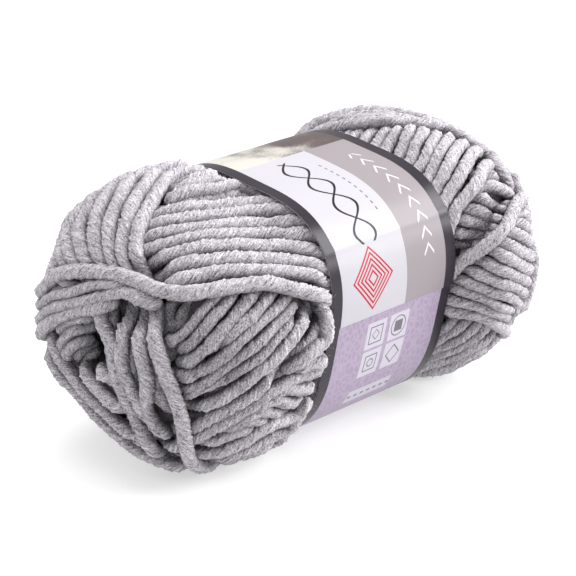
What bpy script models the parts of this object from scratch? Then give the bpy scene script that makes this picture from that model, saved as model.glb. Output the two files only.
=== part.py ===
"""A centre-pull ball of thick grey yarn with a paper band round its waist.

Frame: metres, +Z up. X is the ball's long axis, with the end that shows its hollow at -X,
and -Y is the front. The origin is on the surface that the ball lies on, under its middle.

The ball is one solid. Its outer form is two rounded lobes, one at each end, drawn in at the
waist by the band. On that form lie the bundles: groups of turns that were wound together,
each running its own way, with the later ones on top. Every ridge stands for one or two turns
of the yarn. The paper band is a closed ring, a little clear of the yarn.
"""

import math
from collections import namedtuple

import bmesh
import bpy
import numpy as np

# Driving dimensions
MM = 0.001
YARN_THICK = 0.0044  # one turn of the yarn, as it lies wound
BAND_WIDTH = 0.059
BAND_WALL = 0.0010
BAND_CLEAR = 0.0006  # between the band's inside and the yarn
BAND_HALF_Y = 0.0392  # the band's outer section, a rounded square
BAND_HALF_Z = 0.0400
BAND_SQUARENESS = 2.88
BAND_TILT = 0.20  # radians that the section is turned about X
BAND_FLARE = 0.0125  # the far rim is wider than the middle by this share, the near rim narrower
AXIS_SIDE, AXIS_HEIGHT = 0.0031, 0.0435  # the long axis, over the surface the ball lies on
SPINE = 0.055  # half the length of the axis that places on the ball are measured from

DRAW_IN_FROM = 0.0312  # distance from the middle at which the yarn leaves the band
DRAW_IN_OVER = 0.0120  # and the length over which it swells to the lobe's own section
CORE_DEPTH = 0.0068  # how far the deeper turns lie under the outer form
CROWN_HEIGHT = 0.0031  # how far a ridge falls from its crown to its own foot
RIDGE_SPREAD = 1.10  # ridges overlap by this much at their feet
LEAST_SPREAD, MOST_SPREAD = 0.6, 1.7  # a fanned-out ridge's width, in shares of its usual one
PRESSED_BELOW = 0.0034  # yarn lower than this is pressed down, flat below half of it
HOLLOW_LEAN, HOLLOW_CLOCK = -76.0, 160.0  # the end hollow, where the inner strand is pulled out
HOLLOW_RADIUS, HOLLOW_DEPTH = 0.0075, 0.0080

FACE_CELLS = 104  # cells along each side of the six patches that cover the ball
SOLID_TRIANGLES = 10200
BAND_SEGMENTS = 72
CREASE_ANGLE = math.radians(40)  # creases sharper than this stay sharp in the shading

# A lobe ends length past start_x, rounded over by squareness_x. Its cross-section is a rounded
# square, tilted about X, with its centre at y from the long axis and z over the surface.
Lobe = namedtuple("Lobe", "start_x length squareness_x half_y half_z squareness tilt y z")
NEAR_LOBE = Lobe(0.0398, 0.0460, 2.77, 0.0443, 0.0389, 2.95, 0.47, 0.0017, 0.0428)
FAR_LOBE = Lobe(0.0428, 0.0420, 2.41, 0.0513, 0.0450, 2.20, 0.168, -0.0036, 0.0449)

# The bundles, in the order they were wound. A place on the ball is (lean, clock) in degrees.
# clock is the angle round the long axis, with 0 at the front, 90 on top and 180 at the back.
# lean is the angle from straight out towards an end, negative at the near end, of a ray that
# starts on the axis, SPINE * sin(lean) from the middle, so that rays spread over the ends.
# ridges is how many ridges the bundle shows across, wide is one ridge's width in yarn
# thicknesses, and sunk is how far its crowns lie under the outer form, in millimetres.
# routes holds the first and the last ridge, and one between where the bundle fans out.
Bundle = namedtuple("Bundle", "name ridges wide sunk routes")
BUNDLES = [
    Bundle("near back", 9, 2, 2.2, [
        [(-34, 116), (-22, 114), (-11, 112)],
        [(-47, 150), (-28, 150), (-11, 150)],
        [(-47, 198), (-29, 196), (-11, 194)]]),
    Bundle("near underside", 9, 2, 0.4, [
        [(-43, -66), (-27, -64), (-11, -62)],
        [(-46, -110), (-29, -108), (-11, -106)],
        [(-45, -162), (-29, -162), (-11, -164)]]),
    Bundle("near front, low", 6, 2, 3.6, [
        [(-57, 16), (-46, 26), (-35, 36)],
        [(-52, -22), (-36, 3), (-18, 20)],
        [(-42, -48), (-29, -34), (-13, -22)]]),
    Bundle("near front, high", 6, 2, 2.6, [
        [(-28, 102), (-20, 104), (-11, 100)],
        [(-48, 78), (-27, 59), (-11, 36)],
        [(-52, 50), (-31, 33), (-11, 12)]]),
    Bundle("near lower corner", 2, 2, 1.2, [
        [(-44, 188), (-47, 215), (-46, 250), (-40, 276)],
        [(-60, 190), (-67, 220), (-67, 275), (-54, 296)]]),
    Bundle("lower rim", 1, 2, 0.8, [
        [(-14, -16), (-18, -36), (-28, -52), (-40, -60)]]),
    Bundle("near shoulder", 3, 2, 0.0, [
        [(-18, 108), (-30, 100), (-40, 91), (-50, 79), (-55, 60)],
        [(-27, 132), (-38, 130), (-51, 124), (-58, 100)]]),
    Bundle("near back shoulder", 2, 2, 0.8, [
        [(-23, 150), (-36, 152), (-49, 150), (-57, 138)],
        [(-29, 176), (-41, 176), (-52, 172), (-59, 160)]]),
    Bundle("down the end", 2, 1.6, 1.6, [
        [(-65, 98), (-75, 74), (-77, -33), (-65, -55), (-49, -66), (-34, -78)],
        [(-58, 52), (-65, 24), (-61, -20), (-52, -44), (-38, -62)]]),
    Bundle("rim of the hollow", 1, 1.6, 2.0, [
        [(-45, 184), (-56, 180), (-65, 165), (-70, 125)]]),
    Bundle("last turn down", 1, 1.3, 0.0, [
        [(-48, 80), (-55, 60), (-58, 35), (-58, 3), (-53, -25), (-46, -48), (-30, -68)]]),
    Bundle("across the end, under", 1, 1.8, 0.8, [
        [(-43, 184), (-53, 170), (-63, 140), (-65, 95), (-55, 58)]]),
    Bundle("across the end, over", 1, 1.5, -0.8, [
        [(-41, 178), (-52, 160), (-57, 106), (-55, 63), (-41, 35), (-31, 28), (-19, 15), (-13, 7)]]),
    Bundle("far back", 8, 2, 1.8, [
        [(11, 126), (24, 128), (38, 130)],
        [(11, 160), (24, 160), (40, 162)],
        [(11, 202), (23, 200), (40, 196)]]),
    Bundle("far underside", 9, 2, 0.4, [
        [(11, -64), (22, -58), (37, -50)],
        [(11, -110), (22, -110), (39, -108)],
        [(11, -160), (23, -160), (40, -158)]]),
    Bundle("far fan", 6, 2, 2.4, [
        [(28, 104), (22, 96), (12, 94)],
        [(28, 68), (21, 60), (12, 54)],
        [(28, 44), (21, 36), (12, 30)]]),
    Bundle("far cross turns", 3, 2, 3.4, [
        [(12, 36), (24, 33), (32, 27)],
        [(12, 15), (20, 17), (25, 16)]]),
    Bundle("far front, low", 3, 2, 2.6, [
        [(12, -26), (20, -21), (27, -14)],
        [(12, -60), (21, -42), (32, -30)]]),
    Bundle("far front", 5, 2, 1.4, [
        [(12, 12), (24, 12), (38, 14)],
        [(12, -20), (21, -16), (34, -26)]]),
    Bundle("round the far end", 9, 2, 0.6, [
        [(27, 62), (39, 40), (43, 5), (37, -36), (27, -62)],
        [(38, 110), (57, 100), (84, 0), (57, -70), (38, -84)],
        [(33, 150), (49, 165), (59, 200), (42, 235), (29, 250)]]),
    Bundle("over the far top", 4, 2, 0.0, [
        [(12, 112), (23, 97), (30, 74), (36, 50)],
        [(12, 146), (27, 138), (42, 116), (54, 80)]]),
    Bundle("far diagonal", 1, 1.6, 0.0, [
        [(41, 56), (34, 36), (27, 24), (22, 18), (19, 11), (12, 4)]]),
]

FINISHES = {
    "wound_yarn": ((0.42, 0.41, 0.44, 1.0), 0.95),
    "paper_band": ((0.80, 0.78, 0.83, 1.0), 0.45),
}


def rounded_square(angle, half_y, half_z, squareness, tilt):
    """Radius of a tilted rounded square at each angle about its centre."""
    turned = angle - tilt
    across = np.abs(np.cos(turned) / half_y) ** squareness
    upward = np.abs(np.sin(turned) / half_z) ** squareness
    return (across + upward) ** (-1.0 / squareness)


def band_radius(x, angle, inset=0.0):
    """Outer radius of the band's section at x, less an inset. The rims flare along X."""
    flare = 1.0 + BAND_FLARE * np.clip(x / (BAND_WIDTH / 2), -1.0, 1.0)
    section = rounded_square(angle, BAND_HALF_Y, BAND_HALF_Z, BAND_SQUARENESS, BAND_TILT)
    return section * flare - inset


def smooth_step(share):
    """0 to 1 with level ends."""
    share = np.clip(share, 0.0, 1.0)
    return share * share * (3.0 - 2.0 * share)


def height_over_form(points):
    """Roughly how far each point lies outside the ball's outer form, negative inside it."""
    x = points[:, 0]
    height = np.empty(len(points))
    for lobe, here in ((NEAR_LOBE, x < 0), (FAR_LOBE, x >= 0)):
        along, y, z = points[here].T
        swell = smooth_step((np.abs(along) - DRAW_IN_FROM) / DRAW_IN_OVER)
        y = y - swell * lobe.y - AXIS_SIDE
        z = z - swell * lobe.z - (1.0 - swell) * AXIS_HEIGHT
        angle, radius = np.arctan2(z, y), np.hypot(y, z)
        section = rounded_square(angle, lobe.half_y, lobe.half_z, lobe.squareness, lobe.tilt)
        past = np.clip((np.abs(along) - lobe.start_x) / lobe.length, 0.0, None)
        power = lobe.squareness_x
        over_lobe = ((past**power + (radius / section) ** power) ** (1 / power) - 1.0) * section
        over_waist = radius - band_radius(along, angle, BAND_WALL + BAND_CLEAR)
        height[here] = swell * over_lobe + (1.0 - swell) * over_waist
    return height


def on_form(directions, reach=0.12, halvings=26):
    """The point of the outer form that each direction's ray reaches from the spine, by halving."""
    start = directions * (SPINE, 0.0, 0.0) + (0.0, AXIS_SIDE, AXIS_HEIGHT)
    low, high = np.zeros(len(directions)), np.full(len(directions), reach)
    for _ in range(halvings):
        half = (low + high) / 2
        outside = height_over_form(start + directions * half[:, None]) > 0
        high = np.where(outside, half, high)
        low = np.where(outside, low, half)
    return start + directions * low[:, None]


def relief_directions(points, step=0.0004):
    """The form's outward normals, from the slope of its height, squared to X near the waist."""
    slope = np.empty_like(points)
    for axis in range(3):
        shift = np.zeros(3)
        shift[axis] = step
        slope[:, axis] = height_over_form(points + shift) - height_over_form(points - shift)
    slope[:, 0] *= smooth_step((np.abs(points[:, 0]) - DRAW_IN_FROM) / (2 * DRAW_IN_OVER))
    return unit(slope)


def unit(vectors):
    return vectors / np.linalg.norm(vectors, axis=-1)[..., None]


def direction(places):
    """Unit vectors of the rays to places given as (lean, clock) in degrees."""
    lean, clock = np.radians(np.asarray(places, float)).T
    return np.stack([np.sin(lean), -np.cos(lean) * np.cos(clock), np.cos(lean) * np.sin(clock)], 1)


def route(places, count):
    """Unit vectors along a smooth line through the places, a Catmull-Rom curve."""
    knots = direction(places)
    knots = np.concatenate([[2 * knots[0] - knots[1]], knots, [2 * knots[-1] - knots[-2]]])
    at = np.linspace(0, len(places) - 1, count)
    span = np.minimum(at.astype(int), len(places) - 2)
    t = (at - span)[:, None]
    a, b, c, d = (knots[span + k] for k in range(4))
    curve = b + 0.5 * t * (c - a + t * (2 * a - 5 * b + 4 * c - d + t * (3 * (b - c) + d - a)))
    return unit(curve)


def ridge_lines(bundle, count=44):
    """Each ridge's centre line, spread evenly between the routes, and its half width along it."""
    routes = np.array([route(places, count) for places in bundle.routes])
    usual = bundle.wide * YARN_THICK / 2
    if bundle.ridges == 1:
        return [on_form(routes[0])], np.full((1, count), usual)
    steps = np.linalg.norm(np.diff(routes, axis=0), axis=2).mean(axis=1)
    at_route = np.concatenate([[0.0], np.cumsum(steps)]) / steps.sum()
    lines = []
    for share in np.linspace(0.0, 1.0, bundle.ridges):
        k = min(int(np.searchsorted(at_route, share, side="right")) - 1, len(routes) - 2)
        part = (share - at_route[k]) / (at_route[k + 1] - at_route[k])
        lines.append(on_form(unit(routes[k] * (1 - part) + routes[k + 1] * part)))
    spacing = np.linalg.norm(np.diff(lines, axis=0), axis=2)
    before, after = np.concatenate([spacing[:1], spacing]), np.concatenate([spacing, spacing[-1:]])
    wider = np.maximum(before, after)
    return lines, np.clip(wider / 2, LEAST_SPREAD * usual, MOST_SPREAD * usual)


def raise_ridge(relief, points, line, half_width, sunk):
    """Lifts the relief to a rounded ridge along the line, wherever that is higher."""
    middle = line[len(line) // 2]
    reach = np.linalg.norm(line - middle, axis=1).max() + 2 * half_width.max()
    near = np.flatnonzero(np.linalg.norm(points - middle, axis=1) < reach)
    start, run = line[:-1], np.diff(line, axis=0)
    offset = points[near][:, None] - start[None]
    share = np.clip((offset * run).sum(2) / (run * run).sum(1), 0.0, 1.0)
    away = np.linalg.norm(offset - share[..., None] * run, axis=2)
    across = (away / (RIDGE_SPREAD * half_width[:-1])).min(axis=1)
    rise = np.sqrt(np.clip(1.0 - across**2, 0.0, 1.0)) - 1.0
    top = np.where(across < 1.0, CROWN_HEIGHT * rise - sunk, -np.inf)
    relief[near] = np.maximum(relief[near], top)


def clear_of_band(points):
    """0 under the band, rising to 1 a little way out of it."""
    return smooth_step((np.abs(points[:, 0]) - DRAW_IN_FROM) / (DRAW_IN_OVER / 3))


def ball_relief(points):
    """How far the yarn lies over (+) or under (-) the outer form at each of its points."""
    hollow_at = on_form(direction([(HOLLOW_LEAN, HOLLOW_CLOCK)]))[0]
    from_hollow = np.linalg.norm(points - hollow_at, axis=1) / HOLLOW_RADIUS
    relief = -CORE_DEPTH - HOLLOW_DEPTH * np.exp(-(from_hollow**2))
    for bundle in BUNDLES:
        for line, half_width in zip(*ridge_lines(bundle)):
            raise_ridge(relief, points, line, half_width, bundle.sunk * MM)
    pressed = smooth_step((PRESSED_BELOW - points[:, 2]) / (PRESSED_BELOW / 2))
    return relief * (1.0 - pressed) * clear_of_band(points)


def patch_directions(cells):
    """Unit vectors and faces of a sphere covered by six square patches with shared edges."""
    side = np.tan(np.linspace(-math.pi / 4, math.pi / 4, cells + 1))
    b, c = np.meshgrid(side, side, indexing="ij")
    a = np.ones_like(b)
    sides = [np.stack(side, -1).reshape(-1, 3) for side in ((a, b, c), (c, a, b), (b, c, a))]
    points = np.concatenate([sign * side for side in sides for sign in (1, -1)])
    corner = (np.arange(cells)[:, None] * (cells + 1) + np.arange(cells)).reshape(-1)
    quads = np.stack([corner, corner + cells + 1, corner + cells + 2, corner + 1], 1)
    faces = np.concatenate([quads + k * (cells + 1) ** 2 for k in range(6)])
    _, first, index = np.unique(
        np.round(points, 6), axis=0, return_index=True, return_inverse=True
    )
    return unit(points[first]), index.reshape(-1)[faces]


def new_object(name, points, faces):
    mesh = bpy.data.meshes.new(name)
    mesh.from_pydata(points.tolist(), [], [list(map(int, face)) for face in faces])
    mesh.validate()
    obj = bpy.data.objects.new(name, mesh)
    bpy.context.scene.collection.objects.link(obj)
    return obj


def outward(mesh):
    """Faces turned to point out of the closed mesh."""
    shape = bmesh.new()
    shape.from_mesh(mesh)
    bmesh.ops.recalc_face_normals(shape, faces=shape.faces)
    if shape.calc_volume(signed=True) < 0:
        bmesh.ops.reverse_faces(shape, faces=shape.faces)
    shape.to_mesh(mesh)
    shape.free()


def thinned(obj, triangles):
    """The object's mesh with fewer faces, closer together where the relief is steep."""
    full = 2 * len(obj.data.polygons)
    thin = obj.modifiers.new("thin", "DECIMATE")
    thin.ratio = triangles / full
    graph = bpy.context.evaluated_depsgraph_get()
    mesh = bpy.data.meshes.new_from_object(obj.evaluated_get(graph))
    obj.modifiers.clear()
    return mesh


def cut_flat(mesh, height):
    """Cuts the mesh level at the height and closes it, which leaves true flat faces."""
    shape = bmesh.new()
    shape.from_mesh(mesh)
    parts = shape.verts[:] + shape.edges[:] + shape.faces[:]
    cut = bmesh.ops.bisect_plane(
        shape, geom=parts, dist=1e-6, plane_co=(0, 0, height), plane_no=(0, 0, 1), clear_inner=True
    )
    rim = [e for e in cut["geom_cut"] if isinstance(e, bmesh.types.BMEdge)]
    bmesh.ops.holes_fill(shape, edges=rim, sides=0)
    bmesh.ops.triangulate(shape, faces=shape.faces)
    shape.to_mesh(mesh)
    shape.free()


def finish(obj):
    """The object's own material, and smooth shading with its sharp creases kept."""
    colour, roughness = FINISHES[obj.name]
    material = bpy.data.materials.new(obj.name)
    material.use_nodes = True
    shader = material.node_tree.nodes["Principled BSDF"]
    shader.inputs["Base Color"].default_value = colour
    shader.inputs["Roughness"].default_value = roughness
    shader.inputs["Metallic"].default_value = 0.0
    obj.data.materials.append(material)
    obj.data.shade_smooth()
    obj.data.set_sharp_from_angle(angle=CREASE_ANGLE)


def build_wound_yarn():
    """The ball: the outer form with its relief, thinned, and cut flat where it rests."""
    directions, faces = patch_directions(FACE_CELLS)
    form = on_form(directions)
    points = form + relief_directions(form) * ball_relief(form)[:, None]
    points[:, 2] -= np.clip(PRESSED_BELOW - points[:, 2], 0.0, None) * clear_of_band(form)
    full = new_object("full_yarn", points, faces)
    outward(full.data)
    ball = bpy.data.objects.new("wound_yarn", thinned(full, SOLID_TRIANGLES))
    bpy.context.scene.collection.objects.link(ball)
    bpy.data.objects.remove(full)
    cut_flat(ball.data, 0.0)
    outward(ball.data)
    finish(ball)


def build_paper_band():
    """The band: a closed ring between its outer section and one a wall's thickness inside."""
    angle = np.linspace(-math.pi, math.pi, BAND_SEGMENTS, endpoint=False)
    rings = []
    for x, inset in ((-1, 0.0), (1, 0.0), (1, BAND_WALL), (-1, BAND_WALL)):
        x = np.full(BAND_SEGMENTS, x * BAND_WIDTH / 2)
        radius = band_radius(x, angle, inset)
        y, z = AXIS_SIDE + radius * np.cos(angle), AXIS_HEIGHT + radius * np.sin(angle)
        rings.append(np.stack([x, y, z], 1))
    faces = []
    for ring in range(4):
        for k in range(BAND_SEGMENTS):
            after = (k + 1) % BAND_SEGMENTS
            here, there = ring * BAND_SEGMENTS, (ring + 1) % 4 * BAND_SEGMENTS
            faces.append((here + k, here + after, there + after, there + k))
    band = new_object("paper_band", np.concatenate(rings), faces)
    outward(band.data)
    finish(band)


def main():
    for obj in list(bpy.data.objects):
        bpy.data.objects.remove(obj, do_unlink=True)
    build_wound_yarn()
    build_paper_band()


main()
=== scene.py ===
"""A ball of thick grey yarn with a paper band round its waist, dressed round its CAD frame.

Frame: metres, +Z up. X is the ball's long axis, with the end that shows its hollow at -X, and
-Y is the front. The ball lies on z = 0.

The yarn is laid as it was wound. A bundle is a group of turns that run side by side, and each
turn is a twisted tube along its own centre line on the ball's outer form. Bundles that were
wound later lie on top, so the turns beneath dip where they pass under them.
"""

from __future__ import annotations

import logging
import math
from dataclasses import dataclass, field
from enum import Enum
from functools import reduce

import bpy
import numpy as np
from mathutils import Matrix, Vector


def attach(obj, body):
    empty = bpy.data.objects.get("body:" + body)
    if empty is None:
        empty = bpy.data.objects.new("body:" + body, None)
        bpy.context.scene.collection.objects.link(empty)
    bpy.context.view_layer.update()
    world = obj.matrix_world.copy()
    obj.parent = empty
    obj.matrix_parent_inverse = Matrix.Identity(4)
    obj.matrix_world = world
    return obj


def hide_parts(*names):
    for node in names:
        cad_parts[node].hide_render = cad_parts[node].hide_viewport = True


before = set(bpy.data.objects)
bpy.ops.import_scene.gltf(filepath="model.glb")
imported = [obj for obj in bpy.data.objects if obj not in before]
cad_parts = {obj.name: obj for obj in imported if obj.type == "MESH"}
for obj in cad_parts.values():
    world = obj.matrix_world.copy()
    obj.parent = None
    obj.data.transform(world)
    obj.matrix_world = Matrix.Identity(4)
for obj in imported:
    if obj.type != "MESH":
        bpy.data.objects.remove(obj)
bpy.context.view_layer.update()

log = logging.getLogger("yarn_ball")

MM = 0.001
FULL_TURN = 2 * math.pi
Pair = tuple[float, float]
Triple = tuple[float, float, float]
Colour = tuple[float, float, float]
Socket = bpy.types.NodeSocket
SEED = 11


# ---------------------------------------- geometry


def smooth_step(share: np.ndarray) -> np.ndarray:
    """0 to 1 with level ends."""
    share = np.clip(share, 0.0, 1.0)
    return share * share * (3.0 - 2.0 * share)


def unit(vectors: np.ndarray) -> np.ndarray:
    """The vectors of the last axis at length 1."""
    return vectors / np.linalg.norm(vectors, axis=-1, keepdims=True)


def along(line: np.ndarray) -> np.ndarray:
    """Distance along a line of points from its first point to each of them."""
    steps = np.linalg.norm(np.diff(line, axis=0), axis=1)
    return np.concatenate([[0.0], np.cumsum(steps)])


def tangents(line: np.ndarray) -> np.ndarray:
    """Unit directions of a line of points, from the difference between each point's neighbours."""
    return unit(np.gradient(line, axis=-2))


def smooth_line(knots: np.ndarray, count: int, finer: int = 8) -> np.ndarray:
    """A smooth line through knots: cubic Hermite spans with three-point tangents.

    Args:
        knots: the points that the line goes through, one a row.
        count: how many points the line gets, at even distances.
        finer: how many points are worked out for each of those.

    Returns:
        The line's points, one a row.
    """
    at = along(knots)
    slope = np.gradient(knots, at, axis=0)
    fine = np.linspace(0.0, at[-1], finer * count)
    span = np.clip(np.searchsorted(at, fine, side="right") - 1, 0, len(at) - 2)
    length = (at[span + 1] - at[span])[:, None]
    t = (fine - at[span])[:, None] / length
    start, end = knots[span], knots[span + 1]
    leave, arrive = slope[span] * length, slope[span + 1] * length
    line = (
        (1 + 2 * t) * (1 - t) ** 2 * start
        + t * (1 - t) ** 2 * leave
        + t * t * (3 - 2 * t) * end
        + t * t * (t - 1) * arrive
    )
    return evenly(line, count)


def evenly(line: np.ndarray, count: int) -> np.ndarray:
    """The same line with its points at even distances.

    Args:
        line: one point a row.
        count: how many points it gets.

    Returns:
        The new points.
    """
    at = along(line)
    wanted = np.linspace(0.0, at[-1], count)
    return np.stack([np.interp(wanted, at, line[:, axis]) for axis in range(line.shape[1])], 1)


@dataclass(frozen=True)
class Lobe:
    """One end of the ball, as in the CAD: a rounded square section that closes over its end."""

    start_x: float
    length: float
    squareness_x: float
    half_y: float
    half_z: float
    squareness: float
    tilt: float
    y: float
    z: float
    draw_in_over: float


def rounded_square(
    angle: np.ndarray, half_y: float, half_z: float, squareness: float, tilt: float
) -> np.ndarray:
    """Radius of a tilted superellipse: (|cos|/a)^n + (|sin|/b)^n, to the power -1/n.

    Args:
        angle: angle round the section.
        half_y: a, half its width.
        half_z: b, half its height.
        squareness: n, 2 for an ellipse and more for a squarer section.
        tilt: how far it is turned.

    Returns:
        The radius at each angle.
    """
    turned = angle - tilt
    across = np.abs(np.cos(turned) / half_y) ** squareness
    upward = np.abs(np.sin(turned) / half_z) ** squareness
    return (across + upward) ** (-1.0 / squareness)


@dataclass(frozen=True)
class BallForm:
    """The ball's outer form: two lobes, drawn in at the waist by the band.

    Its height function is the distance over the near or the far lobe, blended into the
    distance over the waist where the band holds the yarn in.
    """

    near: Lobe = Lobe(
        start_x=0.0398, length=0.0460, squareness_x=2.77, half_y=0.0443, half_z=0.0389,
        squareness=2.95, tilt=0.47, y=0.0017, z=0.0428, draw_in_over=0.0060)
    far: Lobe = Lobe(
        start_x=0.0428, length=0.0420, squareness_x=2.41, half_y=0.0513, half_z=0.0450,
        squareness=2.20, tilt=0.168, y=-0.0036, z=0.0449, draw_in_over=0.0135)
    axis_side: float = 0.0031
    axis_height: float = 0.0435
    spine: float = 0.055
    band_half_width: float = 0.0295
    band_half_y: float = 0.0392
    band_half_z: float = 0.0400
    band_squareness: float = 2.88
    band_tilt: float = 0.20
    band_flare: float = 0.0125
    under_band: float = 0.0011
    draw_in_from: float = 0.0292
    longest_ray: float = 0.12
    halvings: int = 24

    def band_radius(self, x: np.ndarray, angle: np.ndarray) -> np.ndarray:
        """Radius of the band's outside at x and at an angle round the long axis."""
        flare = 1.0 + self.band_flare * np.clip(x / self.band_half_width, -1.0, 1.0)
        return flare * rounded_square(
            angle, self.band_half_y, self.band_half_z, self.band_squareness, self.band_tilt
        )

    def height(self, points: np.ndarray) -> np.ndarray:
        """How far points lie over the form, negative inside it.

        Args:
            points: any array of points, with x, y, z on its last axis.

        Returns:
            Roughly the distance from the form, in metres, in the array's own shape.
        """
        x = points[..., 0]
        heights = []
        for lobe in (self.near, self.far):
            swell = smooth_step((np.abs(x) - self.draw_in_from) / lobe.draw_in_over)
            y = points[..., 1] - swell * lobe.y - self.axis_side
            z = points[..., 2] - swell * lobe.z - (1.0 - swell) * self.axis_height
            angle, radius = np.arctan2(z, y), np.hypot(y, z)
            section = rounded_square(angle, lobe.half_y, lobe.half_z, lobe.squareness, lobe.tilt)
            past = np.clip((np.abs(x) - lobe.start_x) / lobe.length, 0.0, None)
            power = lobe.squareness_x
            closed = (past**power + (radius / section) ** power) ** (1 / power)
            waist = radius - self.band_radius(x, angle) + self.under_band
            heights.append(swell * (closed - 1.0) * section + (1.0 - swell) * waist)
        return np.where(x < 0, heights[0], heights[1])

    def slope(self, points: np.ndarray, step: float = 0.0003) -> np.ndarray:
        """How the height changes along x, y and z, from differences over a small step."""
        shifts = np.eye(3) * step
        rise = [self.height(points + s) - self.height(points - s) for s in shifts]
        return np.stack(rise, -1) / (2 * step)

    def normals(self, points: np.ndarray) -> np.ndarray:
        """Outward unit normals of the form under the points."""
        return unit(self.slope(points))

    def settled(self, points: np.ndarray, depth: np.ndarray, rounds: int = 4) -> np.ndarray:
        """Moves points along the slope until each lies at its depth under the form.

        Args:
            points: points near the form.
            depth: how far under the form each has to lie, a number or an array.
            rounds: how often the step is taken, each time from the new place.

        Returns:
            The moved points.
        """
        for _ in range(rounds):
            slope = self.slope(points)
            off = (self.height(points) + depth) / (slope * slope).sum(-1)
            points = points - slope * off[..., None]
        return points

    def at_places(self, places: list[Pair], depth: float) -> np.ndarray:
        """Points of the form at places given as lean and clock, in degrees.

        A place's ray starts on the long axis, spine * sin(lean) from the middle, and leaves at
        the lean from straight out. Clock is the angle round the axis, 0 at the front, 90 on top.

        Args:
            places: pairs of lean and clock.
            depth: how far under the form the points lie.

        Returns:
            One point a row.
        """
        lean, clock = np.radians(np.asarray(places, float).reshape(-1, 2)).T
        out = np.cos(lean)
        ray = np.stack([np.sin(lean), -out * np.cos(clock), out * np.sin(clock)], 1)
        start = ray * (self.spine, 0.0, 0.0) + (0.0, self.axis_side, self.axis_height)
        low, high = np.zeros(len(ray)), np.full(len(ray), self.longest_ray)
        for _ in range(self.halvings):
            half = (low + high) / 2
            outside = self.height(start + ray * half[:, None]) > -depth
            low, high = np.where(outside, low, half), np.where(outside, half, high)
        return start + ray * low[:, None]


@dataclass(frozen=True)
class PhotoCamera:
    """The camera that the photograph was taken with, as solved from the band's two rims."""

    image_px: float = 576.0
    focal_px: float = 1600.0
    pitch: float = 0.328
    heading: float = 0.715
    distance: float = 0.511
    aim: Triple = (0.0, 0.0031, 0.0435)
    aim_px: Pair = (294.2, 278.6)
    sensor_mm: float = 36.0
    walk_half: float = 0.13
    walk_steps: int = 1300

    def axes(self) -> tuple[np.ndarray, np.ndarray, np.ndarray]:
        """The camera's own directions.

        Returns:
            Unit vectors to the picture's right, to its top, and straight ahead.
        """
        level = np.array([math.cos(self.heading), math.sin(self.heading), 0.0])
        upward = np.array([0.0, 0.0, 1.0])
        right = np.array([math.sin(self.heading), -math.cos(self.heading), 0.0])
        ahead = math.cos(self.pitch) * level - math.sin(self.pitch) * upward
        top = math.sin(self.pitch) * level + math.cos(self.pitch) * upward
        return right, top, ahead

    def place(self) -> np.ndarray:
        """Where the camera stands.

        Returns:
            The place from which the aim point falls on its own pixel.
        """
        right, top, ahead = self.axes()
        middle = self.image_px / 2
        scale = self.distance / self.focal_px
        side = (self.aim_px[0] - middle) * scale
        drop = (self.aim_px[1] - middle) * scale
        return np.array(self.aim) - ahead * self.distance - right * side + top * drop

    def cast(self, pixels: list[Pair], form: BallForm, depth: float) -> np.ndarray:
        """Points at a depth under the form that the pixels show.

        Each pixel's ray is walked to where it first comes down to the depth. A ray that
        passes the form by takes its nearest point and is settled there.

        Args:
            pixels: pairs of x and y from the picture's top left corner.
            form: the form that they lie on.
            depth: how far under the form the points lie.

        Returns:
            One point a row.
        """
        right, top, ahead = self.axes()
        middle = self.image_px / 2
        offset = (np.asarray(pixels, float).reshape(-1, 2) - middle) / self.focal_px
        rays = unit(ahead + offset[:, :1] * right - offset[:, 1:] * top)
        nearest, farthest = self.distance - self.walk_half, self.distance + self.walk_half
        walk = np.linspace(nearest, farthest, self.walk_steps)
        seen = self.place() + rays[:, None] * walk[:, None]
        height = form.height(seen) + depth
        first = np.where((height < 0).any(1), (height < 0).argmax(1), height.argmin(1))
        return form.settled(seen[np.arange(len(rays)), first], depth)

    def build(self) -> None:
        """Adds the scene's camera, with the photograph's place, direction and lens."""
        data = bpy.data.cameras.new("photo_camera")
        data.sensor_width = self.sensor_mm
        data.lens = self.focal_px / self.image_px * self.sensor_mm
        camera = bpy.data.objects.new("photo_camera", data)
        bpy.context.scene.collection.objects.link(camera)
        right, top, ahead = self.axes()
        turn = Matrix([right, top, -ahead]).transposed().to_4x4()
        camera.matrix_world = Matrix.Translation(Vector(self.place())) @ turn
        bpy.context.scene.camera = camera


# ---------------------------------------- the turns


class YarnPiece(Enum):
    """The pieces that the turns are joined into, by where they lie."""

    NEAR_FRONT = "near_front_turns"
    NEAR_SHOULDER = "near_shoulder_turns"
    NEAR_END = "near_end_turns"
    NEAR_BACK = "near_back_turns"
    NEAR_UNDER = "near_underside_turns"
    FAR_FRONT = "far_front_turns"
    FAR_END = "far_end_turns"
    FAR_BACK = "far_back_turns"
    FAR_UNDER = "far_underside_turns"


@dataclass(frozen=True)
class Route:
    """A line on the ball: places out of sight, then pixels where it shows, then places again."""

    seen: list[Pair] = field(default_factory=list)
    before: list[Pair] = field(default_factory=list)
    after: list[Pair] = field(default_factory=list)


@dataclass(frozen=True)
class Bundle:
    """Turns that were wound together, spread evenly between routes.

    Attributes:
        piece: the piece that the turns are joined into.
        turns: how many turns lie side by side.
        sunk: how far their crowns lie under the outer form, in millimetres.
        routes: the first and the last turn, and those between where the bundle bends.
        reach: how far the turns carry on past the routes' two ends, in millimetres.
        dive: how much deeper they lie at those ends, in millimetres, or higher if negative.
        thick: the turns' thickness as a share of the usual one.
    """

    piece: YarnPiece
    turns: int
    sunk: float
    routes: list[Route]
    reach: Pair = (6.0, 8.0)
    dive: Pair = (0.0, 0.0)
    thick: float = 1.0


def seen(*lines: list[Pair]) -> list[Route]:
    """Routes that show from end to end, each given by its pixels."""
    return [Route(seen=line) for line in lines]


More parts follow.
